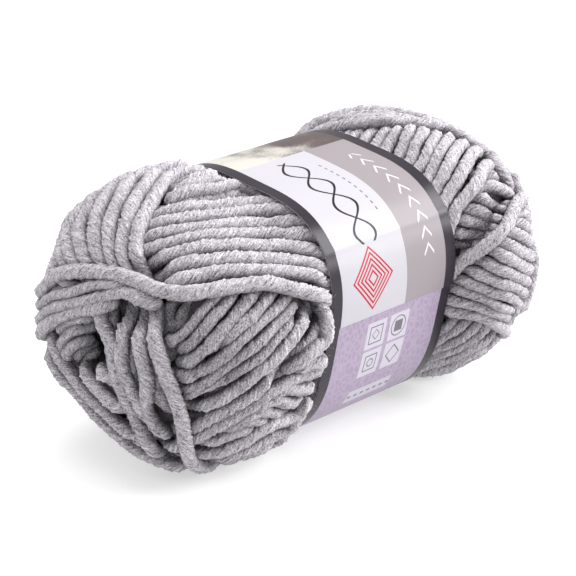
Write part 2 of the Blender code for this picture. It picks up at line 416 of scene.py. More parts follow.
def hidden(*lines: list[Pair]) -> list[Route]:
    """Routes that don't show at all, each given by its places."""
    return [Route(before=line) for line in lines]


def bundles() -> list[Bundle]:
    """All bundles, in the order that they were wound, from the innermost to the last."""
    return [*near_bundles(), *far_bundles()]


def near_bundles() -> list[Bundle]:
    """The near lobe's bundles.

    Returns:
        The bundles in the order that they were wound.
    """
    piece = YarnPiece
    back = Bundle(piece.NEAR_BACK, 22, 2.2, hidden(
        [(-32, 99), (-22, 97), (-11, 96)],
        [(-47, 150), (-28, 150), (-11, 150)],
        [(-47, 200), (-29, 198), (-11, 196)]), dive=(2.5, 0.0))
    underside = Bundle(piece.NEAR_UNDER, 19, 0.4, hidden(
        [(-43, -58), (-27, -56), (-11, -54)],
        [(-46, -110), (-29, -108), (-11, -106)],
        [(-45, -166), (-29, -166), (-11, -166)]), dive=(2.5, 0.0))
    pocket = Bundle(piece.NEAR_FRONT, 4, 7.0, seen(
        [(170, 319), (171, 310), (177, 301)],
        [(183, 323), (186, 312), (192, 302)],
        [(158, 329), (167, 327), (178, 325)],
        [(165, 357), (174, 352), (184, 345)]), reach=(2.0, 6.0), dive=(1.0, 1.0))
    under_front = Bundle(piece.NEAR_FRONT, 6, 5.6, seen(
        [(186, 372), (205, 358), (222, 342), (240, 325), (262, 300)],
        [(190, 400), (222, 380), (250, 356), (276, 330), (300, 302)],
        [(214, 432), (246, 414), (270, 395), (296, 372), (318, 345)]), reach=(6.0, 4.0))
    low_front = Bundle(piece.NEAR_FRONT, 7, 3.2, seen(
        [(166, 342), (178, 337), (188, 330), (197, 320), (203, 313), (209, 307), (216, 300),
         (222, 295)],
        [(184, 348), (192, 343), (198, 336), (204, 330), (210, 322), (216, 315), (222, 309),
         (227, 303), (232, 296)],
        [(183, 365), (192, 361), (201, 354), (209, 347), (214, 340), (219, 334), (225, 326),
         (232, 319), (238, 312), (244, 305), (251, 296)],
        [(224, 341), (230, 336), (236, 330), (244, 323), (251, 317), (258, 309), (264, 302),
         (270, 295)],
        [(178, 377), (187, 376), (196, 372), (208, 366), (216, 361), (229, 351), (238, 343),
         (247, 336), (256, 328), (264, 320), (271, 313), (277, 306), (283, 299)],
        [(183, 389), (196, 385), (208, 379), (216, 373), (225, 367), (234, 361), (243, 354),
         (251, 348), (260, 339), (269, 330), (277, 322), (284, 316), (290, 309), (296, 302)],
        [(184, 396), (196, 391), (208, 386), (219, 381), (230, 375), (239, 368), (248, 362),
         (257, 356), (265, 349), (273, 340), (280, 334), (286, 327), (293, 320), (299, 313),
         (306, 305)]),
        reach=(3.0, 6.0), dive=(3.0, 1.0), thick=0.92)
    lowest_front = Bundle(piece.NEAR_FRONT, 10, 2.4, seen(
        [(166, 422), (178, 417), (190, 413), (200, 409), (208, 404), (218, 400), (227, 394),
         (236, 388), (245, 383), (254, 375), (260, 369), (268, 364), (274, 358), (281, 351),
         (286, 345), (292, 338), (297, 331), (302, 324), (307, 317), (312, 310), (317, 303)],
        [(166, 440), (176, 435), (188, 429), (199, 424), (208, 418), (218, 413), (227, 408),
         (236, 403), (245, 398), (253, 393), (260, 388), (265, 383), (272, 377), (278, 372),
         (285, 367), (292, 362), (298, 355), (304, 348), (310, 340), (314, 334), (320, 326),
         (325, 317)],
        [(306, 357), (312, 350), (319, 344), (326, 339)],
        [(276, 383), (284, 378), (293, 372), (303, 366), (312, 362), (321, 357)],
        [(170, 448), (182, 443), (195, 437), (205, 432), (214, 427), (223, 422), (232, 418),
         (241, 412), (249, 408), (256, 402), (262, 397), (269, 391), (279, 386), (288, 381),
         (297, 377), (305, 373)],
        [(269, 401), (276, 395), (283, 390), (291, 388), (300, 387)],
        [(250, 411), (256, 407), (263, 403), (272, 400), (284, 400), (293, 401)],
        [(237, 421), (246, 416), (255, 412), (265, 411), (276, 412), (284, 413)],
        [(226, 428), (236, 423), (246, 420), (258, 420), (268, 421)],
        [(204, 442), (215, 438), (226, 434), (238, 430), (250, 428), (262, 427)]),
        reach=(3.0, 6.0), dive=(2.5, 1.0), thick=0.92)
    beside_the_band = Bundle(piece.NEAR_FRONT, 1, 0.8, [
        Route([(314, 347), (306, 356), (297, 366)],
              before=[(-20.3, 13), (-20.6, 6), (-21.2, 0)])],
        reach=(5.0, 4.0), dive=(2.5, 2.5))
    high_front = Bundle(piece.NEAR_FRONT, 8, 1.2, seen(
        [(160, 206), (172, 202), (190, 198), (210, 196), (235, 195), (260, 197), (277, 201)],
        [(153, 216), (170, 212), (190, 209), (210, 207), (235, 206), (262, 206), (290, 211)],
        [(147, 228), (160, 224), (180, 220), (200, 217), (222, 215), (245, 214), (272, 214),
         (300, 219)],
        [(145, 240), (160, 235), (180, 231), (200, 228), (222, 226), (245, 225), (272, 226),
         (309, 230)],
        [(145, 250), (160, 246), (180, 241), (200, 238), (222, 236), (245, 235), (272, 236),
         (317, 242)],
        [(146, 262), (160, 257), (178, 252), (200, 248), (225, 247), (250, 246), (276, 247),
         (300, 251), (325, 258)],
        [(150, 274), (163, 270), (180, 265), (200, 262), (222, 260), (245, 259), (275, 260),
         (300, 264), (328, 272)],
        [(166, 284), (180, 281), (198, 277), (218, 273), (240, 271), (268, 271), (294, 274),
         (314, 279), (331, 287)]),
        reach=(5.0, 8.0), dive=(0.6, 0.0))
    in_hollow = Bundle(piece.NEAR_END, 2, 4.6, seen(
        [(76, 363), (80, 354), (87, 347)],
        [(85, 367), (88, 359), (93, 355)]), reach=(2.0, 0.5), dive=(0.5, 3.0))
    into_hollow = Bundle(piece.NEAR_END, 3, 2.0, seen(
        [(50, 348), (56, 337), (65, 327), (76, 320), (87, 316)],
        [(61, 349), (68, 339), (76, 331), (84, 327)],
        [(67, 358), (73, 348), (81, 340)]), reach=(3.0, 0.5), dive=(0.8, 5.0))
    lower_corner = Bundle(piece.NEAR_END, 3, 1.0, seen(
        [(51, 336), (57, 350), (65, 365), (75, 378), (85, 390), (97, 403), (110, 416), (124, 428),
         (139, 438)],
        [(81, 369), (85, 373), (93, 382), (102, 391), (110, 399), (118, 406), (127, 413)],
        [(98, 370), (105, 375), (112, 382), (118, 390), (124, 398)]),
        reach=(1.0, 5.0), dive=(2.0, 2.0))
    lower_rim = Bundle(piece.NEAR_UNDER, 3, 0.8, seen(
        [(324, 366), (322, 371), (319, 377), (314, 384), (311, 390), (307, 397), (302, 405),
         (297, 412), (290, 417), (282, 421), (274, 424), (265, 428), (256, 433), (247, 438),
         (238, 443), (229, 447), (219, 452), (210, 455)],
        [(305, 413), (298, 421), (290, 427), (278, 433), (269, 437), (260, 442), (250, 447),
         (240, 452), (228, 456), (216, 461)],
        [(285, 436), (272, 443), (258, 449), (244, 454), (230, 459), (215, 464), (203, 468)]),
        reach=(5.0, 7.0), dive=(1.5, 2.0), thick=0.92)
    in_the_end = Bundle(piece.NEAR_END, 3, 3.6, seen(
        [(110, 306), (112, 318), (113, 330), (115, 342), (117, 354)],
        [(131, 350), (132, 363), (133, 373), (135, 382), (138, 391), (142, 400)],
        [(152, 356), (153, 368), (155, 377), (158, 387), (161, 396), (166, 404)]),
        reach=(5.0, 4.0), dive=(2.0, 2.0))
    down_the_end = Bundle(piece.NEAR_END, 3, 1.2, seen(
        [(99, 310), (102, 321), (106, 331), (110, 340), (113, 350), (114, 360), (116, 370),
         (119, 380), (123, 389), (127, 398), (132, 408), (136, 418), (141, 428), (146, 438),
         (152, 447), (158, 457)],
        [(124, 302), (124, 312), (123, 322), (123, 332), (123, 342), (122, 352), (123, 361),
         (125, 370), (128, 378), (131, 386), (135, 395), (140, 405), (144, 414)],
        [(138, 308), (138, 320), (138, 330), (139, 340), (140, 350), (142, 359), (144, 368),
         (146, 377), (147, 387), (148, 398), (149, 407), (152, 416), (156, 424), (161, 431)]),
        reach=(7.0, 4.0), dive=(2.0, 2.0))
    outer_corner = Bundle(piece.NEAR_END, 2, 0.0, [
        Route([(38, 326), (40, 342), (46, 358), (61, 383), (81, 406), (107, 430), (134, 451),
               (160, 465), (185, 471)], after=[(-22, -70)]),
        *hidden([(-38, 196), (-41, 218), (-41, 248), (-33, 278), (-22, 286)])],
        reach=(4.0, 7.0), dive=(1.0, 1.0))
    shoulder = Bundle(piece.NEAR_SHOULDER, 6, 0.0, [
        Route([(180, 166), (160, 172), (143, 190), (133, 207), (126, 225), (123, 243),
               (123, 258), (127, 272)], before=[(-17, 120)]),
        Route([(135, 174), (120, 184), (107, 200), (101, 218), (99, 236), (101, 252),
               (106, 265)], before=[(-22, 130)]),
        Route([(74, 210), (66, 224), (62, 240), (62, 255), (68, 268)],
              before=[(-26, 145), (-40, 141)])],
        reach=(5.0, 9.0), dive=(1.0, 4.0))
    back_shoulder = Bundle(piece.NEAR_BACK, 5, 0.6, hidden(
        [(-11, 140), (-24, 144), (-38, 150), (-49, 150), (-57, 138)],
        [(-11, 161), (-26, 166), (-41, 173), (-52, 174), (-59, 160)]), dive=(0.5, 3.0))
    top_front = Bundle(piece.NEAR_FRONT, 4, -0.3, seen(
        [(206, 171), (214, 170), (227, 172)],
        [(191, 180), (205, 177), (222, 176), (240, 180)],
        [(178, 190), (197, 185), (220, 182), (250, 186)],
        [(169, 199), (190, 193), (215, 189), (240, 189), (262, 193)]),
        reach=(1.0, 3.0), dive=(1.5, 1.0))
    last_down = Bundle(piece.NEAR_SHOULDER, 1, 0.0, [
        Route([(198, 168), (178, 175), (160, 190), (149, 205), (141, 222), (137, 240),
               (137, 256), (141, 275), (146, 296), (151, 320), (156, 342), (162, 362),
               (168, 382), (176, 402), (183, 422), (187, 442), (191, 462)],
              before=[(-14, 110)], after=[(-30, -72)])])
    across_under = Bundle(piece.NEAR_END, 3, 0.1, [
        Route([(50, 302), (58, 296), (74, 291), (90, 287), (105, 285), (120, 285)],
              before=[(-14, 179), (-38, 180)]),
        Route([(45, 318), (53, 309), (64, 305), (80, 302), (96, 298), (112, 295), (128, 294),
               (143, 298)], before=[(-14, 187), (-38, 186)]),
        Route([(43, 334), (50, 324), (60, 318), (73, 313), (88, 308), (100, 305)],
              before=[(-14, 195), (-38, 192)])],
        reach=(4.0, 5.0), dive=(0.5, 2.0))
    across_over = Bundle(piece.NEAR_END, 1, -0.8, [
        Route([(38, 290), (62, 275), (90, 270), (115, 274), (140, 283), (165, 291),
               (190, 294), (215, 290), (240, 285), (270, 284), (300, 291), (330, 302)],
              before=[(-14, 171), (-36, 174)])])
    return [back, underside, pocket, under_front, low_front, lowest_front, beside_the_band,
            high_front, in_hollow, into_hollow, lower_corner, lower_rim, in_the_end, down_the_end,
            outer_corner, shoulder, back_shoulder, top_front, last_down, across_under,
            across_over]


def far_bundles() -> list[Bundle]:
    """The far lobe's bundles.

    Returns:
        The bundles in the order that they were wound.
    """
    piece = YarnPiece
    back = Bundle(piece.FAR_BACK, 19, 1.8, hidden(
        [(11, 110), (24, 116), (42, 124)],
        [(11, 160), (24, 160), (47, 162)],
        [(11, 202), (23, 200), (47, 198)]), reach=(8.0, 6.0), dive=(0.0, 2.5))
    underside = Bundle(piece.FAR_UNDER, 17, 0.4, hidden(
        [(11, -70), (22, -66), (37, -60)],
        [(11, -110), (22, -110), (39, -108)],
        [(11, -164), (23, -164), (40, -162)]), reach=(8.0, 6.0), dive=(0.0, 2.5))
    cross = Bundle(piece.FAR_FRONT, 7, 1.7, seen(
        [(487, 173), (497, 175), (506, 180), (515, 187)],
        [(482, 186), (493, 187), (502, 191), (513, 196)],
        [(475, 196), (486, 198), (496, 200), (509, 205)],
        [(466, 207), (478, 210), (488, 213), (498, 215), (507, 218)],
        [(457, 219), (468, 221), (478, 223), (488, 226), (499, 229)],
        [(451, 231), (461, 234), (470, 234), (479, 236), (488, 239)],
        [(450, 244), (460, 246), (469, 246), (478, 244)]), reach=(8.0, 3.0), dive=(0.0, 1.0),
        thick=0.92)
    low = Bundle(piece.FAR_FRONT, 7, 2.2, seen(
        [(438, 329), (446, 324), (454, 318)],
        [(437, 338), (448, 333), (457, 328), (465, 322)],
        [(436, 345), (448, 342), (457, 338), (465, 333), (473, 328), (480, 322)],
        [(434, 353), (443, 351), (452, 348), (460, 345), (469, 340), (478, 334), (486, 327)],
        [(431, 361), (440, 359), (450, 356), (460, 352), (470, 347), (480, 341), (490, 334)],
        [(428, 368), (439, 366), (451, 362), (463, 357), (475, 351), (485, 345), (494, 338)],
        [(430, 376), (441, 374), (453, 369), (465, 364), (477, 358), (489, 350)]),
        reach=(8.0, 5.0), dive=(0.0, 2.0), thick=0.92)
    front = Bundle(piece.FAR_FRONT, 12, 0.4, seen(
        [(516, 202), (522, 204), (528, 207), (534, 212)],
        [(513, 210), (519, 213), (526, 217), (534, 222)],
        [(508, 219), (516, 223), (525, 228), (535, 234)],
        [(504, 229), (513, 233), (523, 238), (533, 244)],
        [(500, 241), (506, 243), (514, 248), (522, 252), (531, 257)],
        [(490, 251), (497, 253), (506, 258), (514, 262), (522, 266), (530, 269)],
        [(478, 260), (486, 263), (494, 267), (503, 271), (512, 275), (521, 279), (529, 283)],
        [(465, 269), (474, 272), (483, 275), (492, 279), (501, 283), (510, 286), (519, 290),
         (527, 295)],
        [(452, 278), (462, 281), (471, 283), (481, 286), (490, 291), (500, 294), (509, 298),
         (519, 304)],
        [(448, 289), (458, 290), (468, 293), (478, 296), (488, 299), (497, 304), (506, 308),
         (516, 314)],
        [(448, 299), (459, 301), (469, 303), (480, 306), (490, 310), (499, 314), (509, 320)],
        [(445, 308), (455, 311), (465, 313), (475, 315), (485, 318), (494, 323), (501, 328),
         (506, 333)]),
        reach=(6.0, 6.0), dive=(1.5, 2.0), thick=0.92)
    fan = Bundle(piece.FAR_FRONT, 13, 1.2, seen(
        [(343, 129), (341, 132), (338, 136)],
        [(352, 127), (349, 133), (347, 138)],
        [(362, 126), (358, 133), (355, 139)],
        [(375, 124), (372, 131), (369, 137), (366, 143)],
        [(388, 123), (386, 129), (382, 137), (378, 144), (375, 149)],
        [(400, 123), (398, 129), (394, 138), (389, 147), (386, 155)],
        [(412, 123), (410, 130), (407, 138), (403, 147), (400, 155), (397, 161)],
        [(427, 123), (424, 130), (421, 138), (416, 146), (413, 155), (409, 164), (406, 168)],
        [(441, 124), (438, 130), (436, 138), (430, 147), (426, 157), (421, 167), (416, 174)],
        [(453, 126), (450, 132), (448, 140), (441, 151), (437, 160), (433, 169), (429, 177),
         (424, 183)],
        [(465, 131), (462, 137), (459, 147), (452, 157), (448, 167), (444, 177), (438, 187),
         (434, 193)],
        [(478, 138), (474, 146), (470, 156), (465, 166), (461, 175), (456, 184), (450, 193),
         (443, 204)],
        [(489, 146), (487, 158), (483, 170), (478, 181), (471, 191), (463, 200), (456, 208),
         (452, 217)]),
        reach=(6.0, 8.0), dive=(2.0, 0.0), thick=0.92)
    end = Bundle(piece.FAR_END, 21, 0.2, hidden(
        [(37, 66), (40, 40), (42, 5), (36.5, -36), (27, -62)],
        [(38, 110), (57, 100), (84, 0), (57, -70), (38, -84)],
        [(33, 150), (45, 165), (52, 198), (39, 232), (27, 250)]),
        reach=(5.0, 5.0), dive=(2.0, 2.0))
    crown = Bundle(piece.FAR_END, 5, 1.4, hidden(
        [(13, 119), (21.5, 111), (25, 93), (30, 80), (35.5, 72)],
        [(13, 126), (24, 115), (31.5, 98), (34.5, 86), (36.5, 75)]),
        reach=(4.0, 3.0), dive=(0.0, 2.0))
    top = Bundle(piece.FAR_END, 9, 0.0, [
        Route([(312, 129), (322, 121), (334, 116), (347, 112), (361, 111), (376, 110),
               (391, 111), (406, 113), (420, 116), (434, 120), (446, 125)],
              after=[(44, 74)]),
        *hidden([(12, 146), (27, 138), (42, 116), (54, 80)])], reach=(6.0, 6.0), dive=(0.0, 2.0))
    over_the_fan = Bundle(piece.FAR_END, 1, 0.0, seen(
        [(318, 134), (328, 130), (338, 127), (349, 125), (360, 124), (372, 123), (382, 122),
         (395, 122), (404, 122), (413, 123), (422, 124), (431, 125), (440, 127), (450, 129),
         (459, 133), (467, 138), (477, 144), (485, 151), (492, 159), (498, 167), (504, 175),
         (510, 182)]), reach=(7.0, 3.0), dive=(0.0, 2.0))
    diagonal = Bundle(piece.FAR_END, 1, -0.2, seen(
        [(517, 178), (523, 181), (526, 187), (523, 193), (520, 199), (516, 206), (512, 214),
         (508, 222), (503, 230), (496, 238), (488, 244), (479, 250), (471, 255), (463, 260),
         (457, 266), (452, 272)]), reach=(2.0, 8.0), dive=(-1.5, 1.0))
    rim = Bundle(piece.FAR_END, 1, -0.4, seen(
        [(537, 250), (537, 262), (536, 275), (533, 287), (528, 298), (521, 308)]),
        reach=(6.0, 5.0), dive=(2.0, 2.0))
    return [back, underside, cross, low, fan, front, end, rim, crown, top, over_the_fan,
            diagonal]


@dataclass
class Turn:
    """One turn as it is laid.

    Attributes:
        points: its centre line, about a millimetre apart.
        normals: the form's outward normals there.
        half_width: half its width across the ball, which its neighbours squeeze.
        bundle: the bundle that it belongs to.
        depth: how far under the ball's form its centre line lies.
    """

    points: np.ndarray
    normals: np.ndarray
    half_width: np.ndarray
    bundle: Bundle
    depth: np.ndarray


@dataclass(frozen=True)
class Winding:
    """Lays the bundles' turns on the form, and sinks each where later ones pass over it.

    Attributes:
        form: the ball's outer form.
        camera: what the routes' pixels are seen by.
        radius: the yarn's radius.
        samples: points on a route's line.
        step: distance between the points of a finished centre line.
        dive_over: how far before its reach a turn begins to dive.
        held_over: how far from the band a bundle comes down to its own depth.
        crossing_gap: distance between centre lines that cross, as a share of two radii.
        bend_radius: the tightest bend where a turn dips under another.
        deepest: the deepest such dip.
        sideways: height of the slow waver to the sides, as long as sideways_wave.
        upward: height of the slow waver up and down, as long as upward_wave.
        least_squeeze: the narrowest turn's half width, as a share of the radius.
        most_spread: the widest turn's half width, as a share of the radius.
        on_table: the lowest centre line, as a share of the radius.
        table_soft: how softly turns come to rest on the table.
        table_clear: how many times table_soft over the lowest they lie free of it.
    """

    form: BallForm
    camera: PhotoCamera
    radius: float = 0.0022
    samples: int = 64
    step: float = 1.0 * MM
    dive_over: float = 3.0 * MM
    held_over: float = 14.0 * MM
    crossing_gap: float = 0.66
    bend_radius: float = 6.0 * MM
    deepest: float = 7.0 * MM
    sideways: float = 0.28 * MM
    sideways_wave: float = 26.0 * MM
    upward: float = 0.22 * MM
    upward_wave: float = 19.0 * MM
    least_squeeze: float = 0.74
    most_spread: float = 1.10
    on_table: float = 0.62
    table_soft: float = 1.0 * MM
    table_clear: float = 4.0

    def lay(self, wanted: list[Bundle]) -> list[Turn]:
        """All turns, the last wound first, each clear of those that lie over it.

        Args:
            wanted: the bundles in the order that they were wound.

        Returns:
            The turns, with their final centre lines.
        """
        rng = np.random.default_rng(SEED)
        laid: list[Turn] = []
        over = np.empty((0, 3))
        for bundle in reversed(wanted):
            turns = [self.sunk_under(turn, over) for turn in self.spread(bundle, rng)]
            laid.extend(turns)
            over = np.concatenate([over, *(turn.points for turn in turns)])
        return laid

    def guide(self, route: Route, depth: float) -> np.ndarray:
        """A route's line at a depth under the form, with the usual number of samples."""
        knots = [
            self.form.at_places(route.before, depth),
            self.camera.cast(route.seen, self.form, depth),
            self.form.at_places(route.after, depth),
        ]
        return smooth_line(np.concatenate(knots), self.samples)

    def spread(self, bundle: Bundle, rng: np.random.Generator) -> list[Turn]:
        """A bundle's turns before anything lies on them.

        Each is a mix of the two routes beside it, in step with its place between them, or a
        route of its own where there is one for every turn. It is carried on at both ends and
        settled at the bundle's depth, with a slow waver of its own.

        Args:
            bundle: the bundle to spread.
            rng: where the waver comes from.

        Returns:
            The bundle's turns.
        """
        radius = self.radius * bundle.thick
        depth = radius + bundle.sunk * MM
        guides = np.array([self.guide(route, depth) for route in bundle.routes])
        guides = np.array([self.carried_on(line, bundle) for line in guides])
        if len(guides) == bundle.turns:
            lines = guides
        else:
            steps = np.linalg.norm(np.diff(guides, axis=0), axis=2).mean(axis=1)
            at = np.concatenate([[0.0], np.cumsum(steps)]) / steps.sum()
            share = np.linspace(0.0, 1.0, bundle.turns)
            k = np.clip(np.searchsorted(at, share, side="right") - 1, 0, len(at) - 2)
            part = ((share - at[k]) / (at[k + 1] - at[k]))[:, None, None]
            lines = guides[k] * (1 - part) + guides[k + 1] * part
        lines = self.form.settled(lines, self.depths(lines, depth, bundle))
        widths = self.squeezed(lines, radius)
        return [self.wavered(line, width, bundle, rng) for line, width in zip(lines, widths)]

    def carried_on(self, line: np.ndarray, bundle: Bundle) -> np.ndarray:
        """A line carried straight on at both ends.

        Args:
            line: the line of a route.
            bundle: the bundle, which has the reach.

        Returns:
            The longer line, with the usual number of samples.
        """
        first, last = (reach * MM for reach in bundle.reach)
        start = line[0] - unit(line[1] - line[0]) * first
        end = line[-1] + unit(line[-1] - line[-2]) * last
        return evenly(np.concatenate([[start], line, [end]]), self.samples)

    def depths(self, lines: np.ndarray, depth: float, bundle: Bundle) -> np.ndarray:
        """How deep each point of each line lies.

        The bundle's own depth, which shrinks to the yarn's radius under the band, and grows by
        the bundle's dive over the last few millimetres at each end.

        Args:
            lines: the bundle's lines, turn by point by x, y, z.
            depth: the bundle's own depth.
            bundle: the bundle that the lines belong to.

        Returns:
            Depths, turn by point.
        """
        radius = self.radius * bundle.thick
        from_band = np.abs(lines[..., 0]) - self.form.band_half_width
        out = smooth_step(from_band / self.held_over)
        at = np.array([along(line) for line in lines])
        total = at[:, -1:]
        first, last = ((reach * MM + self.dive_over) for reach in bundle.reach)
        near_start = smooth_step(1.0 - at / first) * bundle.dive[0] * MM
        near_end = smooth_step(1.0 - (total - at) / last) * bundle.dive[1] * MM
        return radius + (depth - radius) * out + near_start + near_end

    def squeezed(self, lines: np.ndarray, radius: float) -> np.ndarray:
        """Half widths of turns that touch their neighbours.

        Args:
            lines: the bundle's lines, turn by point by x, y, z.
            radius: the yarn's radius.

        Returns:
            Half the mean distance to the neighbours, square to the lines and within limits.
        """
        if len(lines) == 1:
            return np.full(lines.shape[:2], radius)
        gap = np.diff(lines, axis=0)
        ahead = tangents(lines)[:-1]
        gap = gap - (gap * ahead).sum(-1, keepdims=True) * ahead
        half = np.linalg.norm(gap, axis=2) / 2
        both = (np.concatenate([half[:1], half]) + np.concatenate([half, half[-1:]])) / 2
        return np.clip(both, self.least_squeeze * radius, self.most_spread * radius)

    def wavered(
        self, line: np.ndarray, width: np.ndarray, bundle: Bundle, rng: np.random.Generator
    ) -> Turn:
        """A turn with a slow waver to the sides and up and down, at even steps.

        Args:
            line: its centre line.
            width: its half widths.
            bundle: the bundle that it belongs to.
            rng: where the waver's waves come from.

        Returns:
            The turn.
        """
        at = along(line)
        count = max(6, int(at[-1] / self.step))
        normals = self.form.normals(line)
        across = np.cross(tangents(line), normals)
        line = line + across * (self.sideways * waves(at, self.sideways_wave, rng))[:, None]
        line = line + normals * (self.upward * waves(at, self.upward_wave, rng))[:, None]
        width = np.interp(np.linspace(0, at[-1], count), at, width)
        line = evenly(line, count)
        return Turn(line, self.form.normals(line), width, bundle, -self.form.height(line))

    def sunk_under(self, turn: Turn, over: np.ndarray) -> Turn:
        """The turn, sunk along the form's normals to clear the centre lines that lie over it.

        A point at v from a point above it has to sink by v.n + sqrt(c^2 - v^2 + (v.n)^2) for
        its distance to become c. The turn bends into and out of such a dip along a parabola.
        Points further below it than the deepest dip are on the ball's other side, and are passed.

        Args:
            turn: the turn as it would lie with nothing over it.
            over: all points of the centre lines that lie over it.

        Returns:
            The turn with its final centre line.
        """
        clear = 2 * self.radius * self.crossing_gap
        middle = turn.points.mean(axis=0)
        span = np.linalg.norm(turn.points - middle, axis=1).max() + 3 * clear
        close = over[np.linalg.norm(over - middle, axis=1) < span] if len(over) else over
        at = along(turn.points)
        if len(close):
            apart = turn.points[:, None] - close[None]
            upward = (apart * turn.normals[:, None]).sum(-1)
            room = clear**2 - (apart**2).sum(-1) + upward**2
            met = (room > 0) & (upward < self.deepest)
            sink = np.where(met, upward + np.sqrt(np.maximum(room, 0.0)), 0.0).max(axis=1)
            sink = np.clip(sink, 0.0, self.deepest)
            away = at[:, None] - at[None]
            sink = (sink[None] - away**2 / (2 * self.bend_radius)).max(axis=1)
            turn.points = turn.points - turn.normals * np.maximum(sink, 0.0)[:, None]
        turn.points = self.off_the_table(turn.points, turn.bundle)
        turn.depth = -self.form.height(turn.points)
        return turn

    def off_the_table(self, points: np.ndarray, bundle: Bundle) -> np.ndarray:
        """Centre lines raised where they would come too near to the table.

        A height h over the lowest becomes s * log(1 + exp(h / s)), which never falls under it.

        Args:
            points: a turn's centre line.
            bundle: the bundle that it belongs to.

        Returns:
            The centre line with its new heights.
        """
        least = self.on_table * self.radius * bundle.thick
        high = (points[:, 2] - least) / self.table_soft
        eased = np.log1p(np.exp(np.clip(high, -30.0, self.table_clear)))
        points = points.copy()
        points[:, 2] = least + self.table_soft * np.where(high > self.table_clear, high, eased)
        return points


def waves(at: np.ndarray, length: float, rng: np.random.Generator) -> np.ndarray:
    """A slow random waver: the sum of three sine waves.

    Args:
        at: distances along a line.
        length: about how long the waves are.
        rng: where their lengths, heights and phases come from.

    Returns:
        The waver at each distance, mostly between -1 and 1.
    """
    phases = rng.uniform(0, FULL_TURN, 3)
    lengths = length * rng.uniform(0.7, 1.6, 3)
    heights = rng.uniform(0.3, 0.7, 3)
    return (heights * np.sin(FULL_TURN * at[:, None] / lengths + phases)).sum(axis=1)


# ---------------------------------------- meshes


def new_piece(name: str, mesh: bpy.types.Mesh) -> bpy.types.Object:
    """An object at the origin, in the scene.

    Args:
        name: the object's name.
        mesh: what it holds.

    Returns:
        The object.
    """
    piece = bpy.data.objects.new(name, mesh)
    bpy.context.scene.collection.objects.link(piece)
    return piece


def mesh_of(name: str, points: np.ndarray, faces: list[np.ndarray]) -> bpy.types.Mesh:
    """A smooth mesh from arrays.

    Args:
        name: the mesh's name.
        points: one point a row.
        faces: arrays of point indices, each with one face a row.

    Returns:
        The mesh.
    """
    faces = [part for part in faces if len(part)]
    loops = np.concatenate([part.reshape(-1) for part in faces])
    sides = np.concatenate([np.full(len(part), part.shape[1]) for part in faces])
    mesh = bpy.data.meshes.new(name)
    mesh.vertices.add(len(points))
    mesh.vertices.foreach_set("co", np.ascontiguousarray(points, np.float32).reshape(-1))
    mesh.loops.add(len(loops))
    mesh.loops.foreach_set("vertex_index", loops.astype(np.int32))
    mesh.polygons.add(len(sides))
    starts = np.concatenate([[0], np.cumsum(sides)[:-1]])
    mesh.polygons.foreach_set("loop_start", starts.astype(np.int32))
    mesh.update(calc_edges=True)
    mesh.shade_smooth()
    return mesh


def set_attribute(mesh: bpy.types.Mesh, name: str, kind: str, values: np.ndarray) -> None:
    """Stores a named attribute of the points.

    Args:
        mesh: the mesh.
        name: the attribute's name.
        kind: FLOAT or FLOAT_VECTOR.
        values: one value for each point.
    """
    attribute = mesh.attributes.new(name, kind, "POINT")
    slot = "vector" if kind == "FLOAT_VECTOR" else "value"
    attribute.data.foreach_set(slot, np.ascontiguousarray(values, np.float32).reshape(-1))


def grid_faces(rows: int, columns: int, first: int = 0, closed: bool = True) -> np.ndarray:
    """Quads between the rows of a grid of points.

    Args:
        rows: how many rows.
        columns: how many points in a row.
        first: the index of the grid's first point.
        closed: whether the last column joins the first.

    Returns:
        Four indices a face.
    """
    row, column = np.meshgrid(np.arange(rows - 1), np.arange(columns - (not closed)), indexing="ij")
    here = row * columns + column
    beside = row * columns + (column + 1) % columns
    quads = np.stack([here, beside, beside + columns, here + columns], -1)
    return quads.reshape(-1, 4) + first


